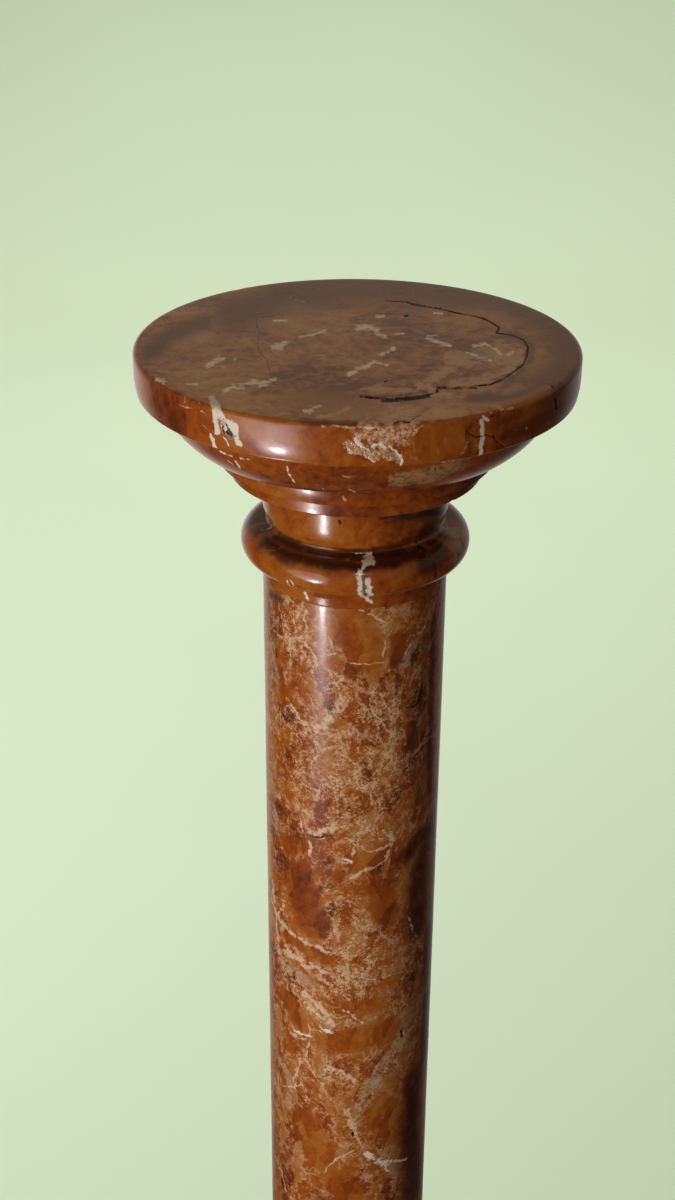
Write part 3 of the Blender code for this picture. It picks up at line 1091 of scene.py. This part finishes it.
SHAFT_ORANGE_ZONES = {
    "plain clast": (38, (350, 626), (362, 640), (366, 652)),
    "side clast": (14, (278, 668), (282, 700)),
    "lens": (16, (288, 845), (306, 845)),
    "streaked lens": (18, (358, 864), (370, 858), (386, 850)),
    "orange patch": (9, (329, 871), (338, 876)),
    "long lens": (13, (286, 932), (302, 945), (326, 958)),
    "left clast": (20, (290, 1000), (298, 1020)),
    "right clast": (24, (330, 1044), (360, 1038), (388, 1030)),
    "small right clast": (16, (350, 1008), (378, 1006)),
    "lower clast": (34, (380, 1112), (404, 1130)),
    "lower left clast": (30, (306, 1124), (324, 1160)),
    "lowest clast": (26, (336, 1178), (350, 1194)),
}
SHAFT_RED_ZONES = {
    "left clast": (40, (298, 876), (304, 900), (312, 922)),
    "middle clast": (30, (380, 888), (386, 914)),
    "red patch": (14, (412, 725), (414, 750)),
    "upper right": (18, (398, 640), (396, 660)),
    "side of the lower clast": (16, (410, 1080), (414, 1150)),
}
SHAFT_DARK_ZONES = {
    "black-red side": (34, (422, 858), (417, 890), (418, 925)),
    "its edge": (18, (434, 815), (434, 870), (431, 935)),
    "wedge above it": (20, (434, 822), (416, 842), (404, 858)),
    "right side": (12, (434, 620), (431, 700), (430, 790)),
    "right side below": (18, (428, 930), (424, 1060)),
    "lower right": (34, (416, 1075), (410, 1130), (414, 1190)),
}
SHAFT_CREAM = {
    "upper vein": (3.4, (300, 638), (307, 647), (315, 656), (316, 669)),
    "upper vein, arm": (2.4, (315, 656), (325, 657), (337, 653)),
    "upper vein, spur": (1.8, (328, 639), (334, 652)),
    "left arc": (1.8, (306, 610), (304, 621), (306, 633)),
    "loop": (1.8, (294, 615), (296, 625), (287, 628)),
    "left line": (1.4, (278, 604), (286, 628)),
    "collar line": (1.4, (359, 609), (385, 623)),
    "short mark": (2, (386, 642), (383, 657)),
    "pale curve": (1.8, (346, 662), (357, 665), (383, 662)),
    "hook": (2.8, (324, 690), (331, 684), (337, 683)),
    "hook, foot": (2, (324, 690), (332, 690)),
    "vein to the right": (1.8, (374, 688), (369, 702), (376, 715), (393, 736)),
    "second thread": (1.2, (381, 693), (390, 717)),
    "left thread": (1.4, (287, 706), (305, 722)),
    "left thread below": (1.2, (280, 713), (303, 745)),
    "right thread": (1.6, (430, 727), (413, 757)),
    "right streak": (1.8, (426, 625), (414, 640), (405, 655)),
    "patch": (5, (323, 808), (331, 808)),
    "lens rim": (5, (309, 832), (319, 833.5), (328, 830), (336, 826)),
    "thread by the rim": (2.4, (299, 818), (302, 833)),
    "thread under the rim": (3, (310, 841), (312, 847), (309, 854)),
    "white spot": (5, (345, 861), (349, 861)),
    "bright vein": (3, (352, 877), (363, 872), (375, 866.5)),
    "bright vein, tail": (1.6, (375, 866.5), (384, 861), (391, 854)),
    "crook": (2.4, (357, 833), (358, 841), (352, 854)),
    "long lens, upper rim": (4.6, (272, 900), (277, 915), (290, 931), (310, 945), (327, 953)),
    "long lens, lower rim": (4.6, (286, 946), (296, 957), (308, 964), (320, 970)),
    "patch under the lens": (5, (303, 965), (313, 968), (323, 971)),
    "patch left of it": (5, (284, 951), (292, 955), (301, 961)),
    "diagonal vein": (3.4, (284, 903), (278, 916), (283, 928)),
    "pale thread": (1.3, (337, 971), (352, 976), (370, 979), (388, 976), (402, 972)),
    "right streaks": (1.8, (408, 918), (416, 937)),
    "column": (5, (303, 992), (312, 1000), (321, 1008), (332, 1023)),
    "column, left": (3, (307, 1006), (320, 1016), (334, 1026)),
    "bright foot": (5.4, (320, 1028), (332, 1033)),
    "cross vein": (2, (344, 1010), (363, 1023)),
    "left vein": (2, (291, 1033), (310, 1040)),
    "falling vein": (2, (310, 1026), (310, 1040), (306, 1056)),
    "falling vein below": (2, (307, 1062), (314, 1074), (322, 1086)),
    "leaf": (1.8, (302, 1060), (298, 1070), (293, 1080)),
    "edge vein": (1.8, (284, 1086), (304, 1085)),
    "patch below": (6, (330, 1068), (344, 1072), (354, 1080)),
    "junction": (5, (348, 1112), (352, 1124), (358, 1142)),
    "clast outline": (1.6, (356, 1149), (337, 1158), (323, 1173)),
    "left outline": (3, (277, 1160), (282, 1172), (286, 1190)),
    "left seam": (4, (272, 880), (276, 915), (280, 955)),
    "upper left threads": (1.4, (272, 628), (284, 640), (290, 655)),
    "pale bar": (6, (313, 735), (326, 722), (338, 708)),
    "pale bar below": (4, (288, 700), (296, 712), (304, 724)),
    "cross by the bar": (2.4, (346, 838), (368, 852), (390, 845)),
    "right seam": (3, (384, 830), (394, 842), (386, 856)),
}
SHAFT_WHITE = {
    "white patch": (8, (367, 1154), (376, 1160), (384, 1164)),
    "white patch, tail": (2.6, (381, 1160), (392, 1161), (406, 1159)),
    "white patch, tip": (2.6, (384, 1164), (388, 1171)),
    "collar streak": (2.6, (296, 1030), (312, 1036)),
    "spot": (3.4, (346, 860), (350, 861)),
    "core of the foot": (3, (322, 1029), (330, 1033)),
}
SHAFT_GREY = {
    "upper band": (6, (436, 600), (426, 624), (412, 650), (400, 672)),
    "band beside it": (3, (440, 620), (428, 650), (416, 676)),
    "middle band": (4, (440, 726), (424, 742), (408, 758), (396, 780)),
    "lower band": (9, (428, 980), (416, 1008), (402, 1030), (396, 1045)),
    "lower band, foot": (9, (392, 1050), (380, 1070), (370, 1086), (358, 1108), (355, 1125)),
    "left edge": (7, (272, 640), (278, 690)),
    "left edge below": (7, (272, 770), (276, 830)),
    "under the long lens": (9, (282, 960), (298, 975), (314, 984)),
    "left foot": (8, (280, 1060), (288, 1075), (290, 1100)),
}
SHAFT_SLATE = {
    "under the collar, left": (11, (270, 593), (280, 599)),
}
SHAFT_CRACK = {
    "right crack": (2.4, (422, 683), (420, 694), (418, 704), (408, 708)),
    "edge line": (2, (439, 604), (438, 612), (436, 621)),
    "under the rim": (2.4, (311, 836), (318, 838), (325, 837)),
    "black spot": (4, (402, 1030), (402, 1036)),
    "green speck": (3, (353, 1133), (354, 1136)),
}

# What is cut into the meshes: the marks, the girth they are unrolled on, the squash they are read with,
# the depth in metres, and how ragged their edges are

TOP_CUTS = [
    (CAP_CRACK, None, FACE_SQUASH, 0.0010, 0.5),
    (SLAB_BLACK, None, 1.0, 0.0006, 0.4),
    (SLAB_EYE, None, 1.0, 0.0010, 0.4),
    (SLAB_CRUST, None, 1.0, 0.0004, 1.6),
]
NECK_CUTS = [(NECK_CRACK, SHAFT_RADIUS, 1.0, 0.0006, 0.5)]
SHAFT_CUTS = [(SHAFT_CRACK, SHAFT_RADIUS, 1.0, 0.0006, 0.5)]


# Stone


class Stone:
    """The marble on one stretch of a piece, laid on colour by colour."""

    def __init__(self, material, solid, stretch, turn, shift, polish, girth=None, squash=1.0):
        material.use_nodes = True
        self.tree = material.node_tree
        self.shader = self.tree.nodes["Principled BSDF"]
        self.solid = solid
        self.stretch = stretch
        self.girth = girth
        self.squash = squash
        self.roughness, coat, coat_roughness = polish
        self.shader.inputs["Specular IOR Level"].default_value = STONE_SPECULAR
        self.shader.inputs["Coat Weight"].default_value = coat
        self.shader.inputs["Coat Roughness"].default_value = coat_roughness
        self.shader.inputs["Coat IOR"].default_value = COAT_IOR
        self.place = Wire(self.tree).node("ShaderNodeTexCoord", output="Object")
        moved = {"Vector": self.place, "Rotation": [radians(a) for a in turn], "Location": shift}
        self.pattern = self.place.node("ShaderNodeMapping", {}, moved)
        self.colour = None

    def unrolled(self, place):
        """A place as the strokes have it: rolled out on a drum, squashed on the top's flat face."""
        if self.girth is None:
            return place.vector("MULTIPLY", place, (1.0, self.squash, 1.0))
        x, y, z = place.axes()
        return place.joined(X=x.math("ARCTAN2", x, y * -1) * self.girth, Y=z)

    def noises(self, tear):
        """Torn places, and the mottle, grain and powder that every stone is coloured by."""
        torn = warped(warped(self.pattern, *WIDE_TEAR), FINE_TEAR_SCALE, tear, 3.0)
        return torn, torn.noise(*MOTTLE), self.pattern.noise(*GRAIN), self.pattern.noise(*POWDER)

    def mark_places(self, push, rag, blur):
        """The places where marks are looked up: ragged for sharp ones, loose for soft ones."""
        ragged = warped(warped(self.place, *push), RAG_SCALE, rag)
        return self.unrolled(ragged), self.unrolled(warped(self.place, LOOSE_SCALE, blur, 3.0))

    def zone(self, place, marks, low, high, wear=None):
        """A soft mask over placed marks: 1 where a place is deep inside one, 0 away from them."""
        marks = strokes(self.solid, self.stretch, marks.values(), self.girth, self.squash)
        near = nearness(place, marks)
        if wear is not None:
            near = near + wear
        return near.smooth(low, high)

    def lay(self, mask, tint):
        """Lay a tint over the colour so far where the mask is 1."""
        self.colour = mask.mix(self.colour, tint)

    def draw(self, place, marks, tint, low, high, wear=None):
        """Lay a tint along placed marks, thinner and thicker as the wear goes."""
        mask = self.zone(place, marks, low, high, wear)
        self.lay(mask, tint)
        return mask

    def polish(self, grain, dull, hollow):
        """Link the colour, a polish that is dull where asked, and a fine relief with sunk hollows."""
        smears = self.pattern.noise(SMEAR_SCALE, 2.0)
        rough = self.roughness - SMEAR_SPREAD / 2 + smears * SMEAR_SPREAD
        relief = self.pattern.noise(WAVE_SCALE, 1.0) * WAVE_HEIGHT + grain * GRAIN_HEIGHT
        for mask in dull:
            rough = rough + mask * DULL_SPREAD
        for mask in hollow:
            relief = relief - mask * HOLLOW_DEPTH
        sockets = {"Height": relief, "Strength": BUMP_STRENGTH, "Distance": BUMP_DEPTH}
        feeds = {
            "Base Color": self.colour,
            "Roughness": rough.clamped(),
            "Normal": relief.node("ShaderNodeBump", {}, sockets),
        }
        for name, wire in feeds.items():
            self.tree.links.new(wire.socket, self.shader.inputs[name])


def warped(place, scale, reach, detail=2.0):
    """The place pushed about by noise, so that what is drawn there gets ragged edges."""
    push = place.vector("SUBTRACT", place.noise(scale, detail, output=1), (0.5, 0.5, 0.5))
    return place.vector("MULTIPLY_ADD", push, (reach, reach, reach), place)


def wisps(place, scale, width, detail=2.0):
    """Thin winding lines, where noise passes its middle value."""
    level = place.noise(scale, detail) - 0.5
    return 1 - level.math("ABSOLUTE", level).smooth(0.0, width)


def stretched(place, turn, stretch):
    """The place turned and drawn out, so that a pattern there runs in streaks."""
    sockets = {"Vector": place, "Rotation": [radians(a) for a in turn], "Scale": stretch}
    return place.node("ShaderNodeMapping", {"vector_type": "TEXTURE"}, sockets)


def light_wear(stone, torn, mottle, powder):
    """The faint dark specks and tan threads of the plainer stones."""
    specks = (1 - powder.smooth(0.28, 0.40)) * mottle.smooth(0.40, 0.60)
    stone.lay(specks * 0.5, BROWN_BLACK)
    threads = wisps(torn, 30.0, 0.012) * mottle.smooth(0.50, 0.64)
    stone.lay(threads * 0.4, TAN)


def shaft_stone(material, solid, stretch):
    """The shaft's marble: rust and orange fragments in streaked tan, pink and cream dust."""
    turn = (8, 22, 0)
    shift = (0.31, 0.12, 0.07)
    stone = Stone(material, solid, stretch, turn, shift, SHAFT_POLISH, SHAFT_RADIUS)
    torn, mottle, grain, powder = stone.noises(0.012)
    ragged, loose = stone.mark_places((110.0, 0.007), 0.0030, 0.013)
    streaked = stretched(torn, STREAK_TURN, (1.0, 1.0, 2.4))
    drift = streaked.noise(*STREAKS)
    gritty = warped(streaked, 150.0, 0.008)
    fragments = gritty.cells(FRAGMENT_SCALE, output=1).channel(0)
    seams = 1 - gritty.cells(FRAGMENT_SCALE, "DISTANCE_TO_EDGE").smooth(0.0, 0.11)

    clean = stone.zone(loose, SHAFT_ORANGE_ZONES, -0.45, 0.15)
    red = stone.zone(loose, SHAFT_RED_ZONES, -0.3, 0.3)
    shade = stone.zone(loose, SHAFT_DARK_ZONES, -0.5, 0.6, (mottle - 0.5) * 3.0)
    dusty = stone.zone(loose, SHAFT_PINK_ZONES, -0.9, 0.8)
    olive = stone.zone(loose, SHAFT_OLIVE, 0.0, 0.7)
    plain = clean.most(red)
    open_dust = (1 - plain * 0.9) * (1 - shade * 0.6)

    tone = drift * 0.55 + mottle * 0.40 + fragments * 0.22 - 0.09
    stone.colour = tone.ramp([(0.32, DARK_RED), (0.39, RUST), (0.47, ORANGE), (0.56, AMBER), (0.65, TAN)])
    stone.lay(olive * mottle.smooth(0.40, 0.56) * 0.7, OLIVE)

    speckle = mottle * 0.40 + grain * 0.30 + powder * 0.30
    amount = (dusty * 0.7 + drift * 1.8 - 0.65).clamped()
    crumbs = speckle + amount * 0.08
    dust = (crumbs.smooth(0.52, 0.60) * open_dust).clamped()
    stone.lay(dust * 0.7, DUST)
    lines = seams * speckle.smooth(0.46, 0.53) * open_dust * (0.3 + amount * 0.7)
    stone.lay(lines * 0.85, PALE_DUST)
    stone.lay(crumbs.smooth(0.59, 0.66) * open_dust * 0.9, PALE_DUST)

    threads = wisps(streaked, 34.0, 0.020) * mottle.smooth(0.46, 0.60) * open_dust
    stone.lay(threads * 0.85, PALE_PINK)
    hairs = wisps(torn, 85.0, 0.020) * grain.smooth(0.48, 0.60) * open_dust
    stone.lay(hairs * 0.7, CREAM)

    stone.lay(clean * 0.8, tone.ramp([(0.40, RUST), (0.50, ORANGE), (0.62, AMBER)]))
    stone.lay(red * 0.8, tone.ramp([(0.32, DARK_RED), (0.46, RUST), (0.64, ORANGE)]))
    stone.lay(shade * 0.92, mottle.ramp([(0.44, RED_BLACK), (0.56, DARK_RED), (0.68, RUST)]))
    specks = (1 - powder.smooth(0.36, 0.44)) * (0.20 + seams * 0.5 + amount * 0.4)
    stone.lay(specks.clamped() * 0.85, BROWN_BLACK)

    bands = stone.zone(ragged, SHAFT_GREY, -0.8, 0.9, (mottle - 0.5) * 6.0)
    stone.lay(bands * (grain * 2.4 - 0.65).clamped(), GREY_DUST)
    slate = stone.zone(ragged, SHAFT_SLATE, -0.6, 0.9, (mottle - 0.5) * 4.0)
    stone.lay(slate * 0.85, SLATE)
    wear = (grain - 0.5) * 4.0 + (mottle - 0.5) * 6.0
    cream = stone.zone(ragged, SHAFT_CREAM, -0.6, 0.8, wear)
    cream = cream * (grain * 2.2 - 0.25).clamped()
    stone.lay(cream, CREAM)
    stone.draw(ragged, SHAFT_WHITE, WHITE, -0.2, 0.6, wear * 0.6)
    crack = stone.draw(ragged, SHAFT_CRACK, BLACK, 0.0, 0.6, wear * 0.5)
    stone.polish(grain, [dust, cream], [crack])


def cap_stone(material, solid, stretch):
    """The moulded top's marble: plain orange, brown on its face partly as a painted reflection, with
    white seams, a ring crack, painted shade and painted highlights.
    """
    on_face = stretch.find((0.0, 0.0, TOP_HEIGHT))[2] < 2 * ROW_STEP
    squash = FACE_SQUASH if on_face else 1.0
    turn = (0, 0, 35)
    shift = (0.05, 0.40, 0.20)
    stone = Stone(material, solid, stretch, turn, shift, CAP_POLISH, squash=squash)
    torn, mottle, grain, powder = stone.noises(0.010)
    ragged, loose = stone.mark_places((75.0, 0.004), 0.0022, 0.012)
    drift = torn.noise(*CLOUDS)
    cells = torn.cells(16.0, output=1).channel(0)

    tone = drift * 0.6 + mottle * 0.5 + cells * 0.10 - 0.08
    stone.colour = tone.ramp([(0.38, DARK_RED), (0.47, RUST), (0.55, ORANGE), (0.68, AMBER)])
    # The level face is painted browner and more mauve than the sides: partly the stone's own colour,
    # partly a painted reflection of the room
    level = stone.place.node("ShaderNodeNewGeometry", output="Normal").axes()[2]
    flat = level.smooth(*LEVEL_FADE)
    face_tone = drift * 0.7 + mottle * 0.6 + grain * 0.2 - 0.25
    browns = [
        (0.38, CAP_DARK_BROWN), (0.45, CAP_MAUVE), (0.51, CAP_BROWN), (0.57, CAP_UMBER),
        (0.66, CAP_SAND),
    ]
    stone.lay(flat, face_tone.ramp(browns))
    # Painted light, paling the front of the flat face
    stone.lay(stone.zone(loose, CAP_PAINTED_LIGHT, -0.9, 0.8) * 0.7, CAP_BROWN)
    # Painted shade, darkening the back and the sides of the flat face
    shade = stone.zone(loose, CAP_PAINTED_SHADE, -0.9, 0.7, (mottle - 0.5) * 2.0)
    stone.lay(shade * 0.85, CAP_SHADOW_TINT)

    stone.lay(stone.zone(loose, SLAB_OCHRE, 0.0, 0.7) * 0.7, OCHRE)
    # Deep red, and painted shade on the slab's right side and right end
    stone.lay(stone.zone(loose, SLAB_DEEP_RED_AND_SHADE, 0.0, 0.6) * 0.65, DARK_RED)
    glow = stone.zone(loose, SLAB_GLOW, 0.0, 0.8)
    stone.lay(glow * mottle.smooth(0.4, 0.6) * 0.6, TAN)
    tan = stone.zone(loose, CAP_TAN, -0.3, 0.6, (mottle - 0.5) * 4.0)
    stone.lay(tan * (grain * 1.8 - 0.1).clamped(), CAP_SAND)
    stone.lay(stone.zone(loose, CAP_GREY, 0.0, 0.8) * 0.6, GREY_GREEN)
    block = stone.zone(loose, OVOLO_GREY, -0.2, 0.2)
    left_side = landing(solid, GREY_BLOCK_SIDE)[0].x
    block = block * ragged.axes()[0].smooth(left_side - GREY_BLOCK_EDGE, left_side + GREY_BLOCK_EDGE)
    blotched = (mottle * 0.5 + grain * 0.5).ramp([(0.40, RUST), (0.46, GREY_TAN), (0.56, TAN)])
    stone.lay(block * 0.95, blotched)

    light_wear(stone, torn, mottle, powder)
    grit = grain * 0.6 + powder * 0.4
    crumbs = grit.ramp([(0.38, BROWN_BLACK), (0.43, PINK_TAN), (0.50, TAN), (0.58, CREAM)])
    dust = grit.ramp([(0.36, RUST), (0.43, AMBER), (0.48, PINK_TAN), (0.56, CREAM)])
    wear = (grain + mottle - 1.0) * 3.0
    # Dust, and a painted highlight along the front arris
    stone.draw(ragged, SLAB_DUST_AND_HIGHLIGHT, dust, -0.7, 0.5, wear)
    crust = stone.draw(ragged, SLAB_CRUST, crumbs, -0.1, 0.2, wear * 0.5)
    stone.draw(ragged, CAP_FAINT, CAP_SAND, -0.1, 0.8, wear)
    film = stone.zone(ragged, CAP_CREAM, -0.7, 0.8, wear * 1.2)
    stone.lay(film * (grain * 1.8 + 0.05).clamped(), CAP_PALE)
    stone.draw(ragged, SLAB_PINK, PALE_PINK, -0.2, 0.5, wear)
    stone.draw(ragged, SLAB_WHITE, WHITE, -0.1, 0.4, wear * 0.4)
    # White edges of the crust, and a painted highlight on the front arris
    stone.draw(ragged, SLAB_CRUST_WHITE_AND_HIGHLIGHT, WHITE, -0.1, 0.4, wear * 0.6)
    stone.draw(ragged, SLAB_HOLE, ORANGE, 0.0, 0.4)
    eye = stone.draw(ragged, SLAB_EYE, GREEN_BLACK, 0.0, 0.45)
    stone.draw(ragged, CAP_DARK, DARK_RED, -0.1, 0.8, wear)
    crack = stone.draw(ragged, CAP_CRACK, BLACK, -0.3, 0.4, wear * 0.6)
    black = stone.draw(ragged, SLAB_BLACK, BLACK, -0.2, 0.5, wear * 0.6)
    stone.polish(grain, [crust, eye], [crack, black])


def neck_stone(material, solid, stretch):
    """The neck's marble: even rust orange, with painted shade on the torus and painted shadow that goes
    black at the back corners.
    """
    turn = (0, 12, 80)
    shift = (0.22, 0.05, 0.33)
    stone = Stone(material, solid, stretch, turn, shift, NECK_POLISH, SHAFT_RADIUS)
    torn, mottle, grain, powder = stone.noises(0.010)
    ragged, loose = stone.mark_places((75.0, 0.003), 0.0018, 0.010)
    drift = torn.noise(*CLOUDS)

    tone = drift * 0.6 + mottle * 0.5 - 0.01
    stone.colour = tone.ramp([(0.36, DARK_RED), (0.44, RUST), (0.52, ORANGE), (0.64, AMBER)])
    # The colour of the painted shade on the torus and at the neck's right
    deep = mottle.ramp([(0.44, BROWN_BLACK), (0.56, RED_BLACK), (0.68, DARK_RED)])
    stone.lay(stone.zone(loose, NECK_PAINTED_SHADE, -0.4, 0.7) * 0.92, deep)
    # Painted reflection on the torus's right cheek
    stone.lay(stone.zone(loose, NECK_PAINTED_REFLECTION, -0.2, 0.9) * mottle.smooth(0.36, 0.52), CHEEK_REFLECTION)
    # Painted shadow under the fillet and in the back corners
    stone.lay(stone.zone(loose, NECK_PAINTED_SHADOW, -0.2, 0.7) * 0.9, SLATE)
    light_wear(stone, torn, mottle, powder)
    wear = (grain + mottle - 1.0) * 3.0
    # White veins, with a painted reflection by the neck's edge and a painted highlight over the groove
    white = stone.draw(ragged, NECK_WHITE_AND_HIGHLIGHTS, WHITE, -0.2, 0.6, wear)
    # The grey-green heart of a vein, and a painted reflection at the edge of the cheek
    stone.draw(ragged, NECK_GREEN, GREY_GREEN, 0.0, 0.8, wear * 0.4)
    crack = stone.draw(ragged, NECK_CRACK, BLACK, -0.1, 0.5, wear * 0.6)
    stone.polish(grain, [white], [crack])


def foot_stone(material, solid, stretch):
    """The marble of the foot, of the shaft's kind and plainer."""
    stone = Stone(material, solid, stretch, (30, 8, 0), (0.6, 0.1, 0.9), SHAFT_POLISH)
    torn, mottle, grain, powder = stone.noises(0.012)
    streaked = stretched(torn, STREAK_TURN, (1.0, 1.0, 2.6))
    drift = streaked.noise(*STREAKS)
    cells = torn.cells(24.0, output=1).channel(0)
    tone = drift * 0.75 + mottle * 0.45 + cells * 0.16 - 0.16
    stone.colour = tone.ramp([(0.28, DARK_RED), (0.40, RUST), (0.52, ORANGE), (0.64, AMBER), (0.76, TAN)])
    dust = (mottle * 0.6 + powder * 0.4).smooth(0.48, 0.60) * drift.smooth(0.48, 0.64)
    stone.lay(dust * 0.8, PINK_TAN)
    threads = wisps(streaked, 34.0, 0.020) * mottle.smooth(0.42, 0.60)
    stone.lay(threads * 0.65, CREAM)
    specks = (1 - powder.smooth(0.30, 0.42)) * mottle.smooth(0.40, 0.60)
    stone.lay(specks * 0.7, BROWN_BLACK)
    stone.polish(grain, [dust], [specks])


# Stage


def stage_material(name, colour):
    """A matt pale finish with faint clouding."""
    material = bpy.data.materials.new(name)
    material.use_nodes = True
    shader = material.node_tree.nodes["Principled BSDF"]
    place = Wire(material.node_tree).node("ShaderNodeTexCoord", output="Object")
    cloud = place.noise(CLOUDING_SCALE, 2.0).smooth(0.2, 0.8)
    clouded = cloud.mix(colour, [c * CLOUDING_SHADE for c in colour[:3]] + [1])
    material.node_tree.links.new(clouded.socket, shader.inputs["Base Color"])
    shader.inputs["Roughness"].default_value = FLOOR_ROUGHNESS
    shader.inputs["Specular IOR Level"].default_value = FLOOR_SPECULAR
    return material


def add_floor():
    """A pale floor that curves up into a backdrop far behind the column."""
    profile = [(FLOOR_FRONT, 0.0), (BACKDROP - COVE_RADIUS, 0.0)]
    profile += [
        (BACKDROP - COVE_RADIUS + COVE_RADIUS * sin(a), COVE_RADIUS - COVE_RADIUS * cos(a))
        for a in [radians(90 * i / COVE_STEPS) for i in range(1, COVE_STEPS + 1)]
    ]
    profile.append((BACKDROP, BACKDROP_HEIGHT))
    points = [(side * STAGE_HALF, y, z) for y, z in profile for side in (-1, 1)]
    faces = [(2 * i, 2 * i + 1, 2 * i + 3, 2 * i + 2) for i in range(len(profile) - 1)]
    mesh = bpy.data.meshes.new("floor")
    mesh.from_pydata(points, [], faces)
    mesh.shade_smooth()
    mesh.materials.append(stage_material("pale_floor", FLOOR_COLOUR))
    floor = add_object("floor", mesh)
    floor.visible_glossy = False
    floor.visible_diffuse = False
    return floor


def add_light(receivers, name, place, target, size, radiance, colour):
    """A soft oval light that faces the target and looks as bright as the radiance given."""
    data = bpy.data.lights.new(name, "AREA")
    data.shape = "ELLIPSE"
    data.size, data.size_y = size
    data.energy = radiance * pi * size[0] * size[1] * pi / 4
    data.color = colour
    light = add_object(name, data)
    turn = (Vector(target) - Vector(place)).to_track_quat("-Z", "Y")
    light.matrix_world = Matrix.Translation(place) @ turn.to_matrix().to_4x4()
    light.visible_camera = False
    light.light_linking.receiver_collection = receivers


def add_lights(floor):
    """A small bright window in a wide dim one at the left, a lamp above, and the stage's own light."""
    for state, lights in (("EXCLUDE", OBJECT_LIGHTS), ("INCLUDE", STAGE_LIGHTS)):
        receivers = bpy.data.collections.new("floor_" + state.lower())
        receivers.objects.link(floor)
        receivers.collection_objects[0].light_linking.link_state = state
        for light in lights:
            add_light(receivers, *light)


def set_world():
    """A dim room, dark below the horizon, paler above it and straight behind."""
    world = bpy.data.worlds.new("room")
    world.use_nodes = True
    bpy.context.scene.world = world
    background = world.node_tree.nodes["Background"]
    sight = Wire(world.node_tree).node("ShaderNodeTexCoord", output="Generated")
    side, ahead, height = sight.axes()
    rim = ahead.smooth(*RIM_FADE) * (1 - side.smooth(*RIM_SIDE_FADE) * RIM_SIDE_LOSS)
    low = rim.mix(ROOM_LOW, ROOM_RIM)
    room = height.smooth(*HORIZON_FADE).mix(low, ROOM_HIGH)
    world.node_tree.links.new(room.socket, background.inputs["Color"])


# The column


def stretches(piece, material, part_of):
    """Share the faces out among materials of their own, and give each with its face centres."""
    faces = piece.data.polygons
    numbers = [part_of(face) for face in faces]
    piece.data.materials.clear()
    for number in range(max(numbers) + 1):
        own = material if number == 0 else bpy.data.materials.new(f"{material.name}_{number + 1}")
        piece.data.materials.append(own)
        centres = [face.center for face, place in zip(faces, numbers) if place == number]
        yield own, nearest_finder(centres)
    faces.foreach_set("material_index", numbers)


def add_piece(name, tree, outline, sides, slot, finish, part_of, cuts):
    """A turned piece in its stone, which stands for the CAD node of the same name."""
    low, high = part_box(name)
    material = bpy.data.materials.new(name + "_stone")
    piece = turned_piece(name + "_turned", outline(low.z, high.z), sides, material, tree)
    solid = BVHTree.FromObject(piece, bpy.context.evaluated_depsgraph_get())
    for cut in cuts:
        carved(piece, solid, *cut)
    for own, stretch in stretches(piece, material, part_of):
        finish(own, solid, stretch)
    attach(piece, "root")
    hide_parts(name)


def whole(face):
    """All of a piece is one stretch."""
    return 0


def face_or_side(face):
    """The top's flat face is one stretch and its mouldings are another."""
    inner = hypot(face.center.x, face.center.y) < SLAB_RADIUS - SLAB_UPPER_ROUND * FACE_MARGIN
    return 0 if inner and face.center.z > TOP_HEIGHT - SLAB_UPPER_ROUND else 1


def by_height(face):
    """The shaft's stretches, one above the other."""
    return min(SHAFT_STRETCHES - 1, int((TOP_HEIGHT - face.center.z) / STRETCH_LENGTH))


def add_column():
    """The five turned pieces: each with its outline, sides, slot, stone, stretches and cuts."""
    pieces = {
        "moulded_top": (top_outline, 300, "top_marble", cap_stone, face_or_side, TOP_CUTS),
        "neck_and_torus": (neck_outline, 240, "neck_marble", neck_stone, whole, NECK_CUTS),
        "shaft": (shaft_outline, 200, "shaft_marble", shaft_stone, by_height, SHAFT_CUTS),
        "base_moulding": (base_outline, 220, "base_marble", foot_stone, whole, ()),
        "plinth": (plinth_outline, 240, "base_marble", foot_stone, whole, ()),
    }
    tree = turning_tree()
    for name, recipe in pieces.items():
        add_piece(name, tree, *recipe)


bpy.context.scene.view_settings.view_transform = "Standard"
add_camera()
set_world()
add_lights(add_floor())
add_column()
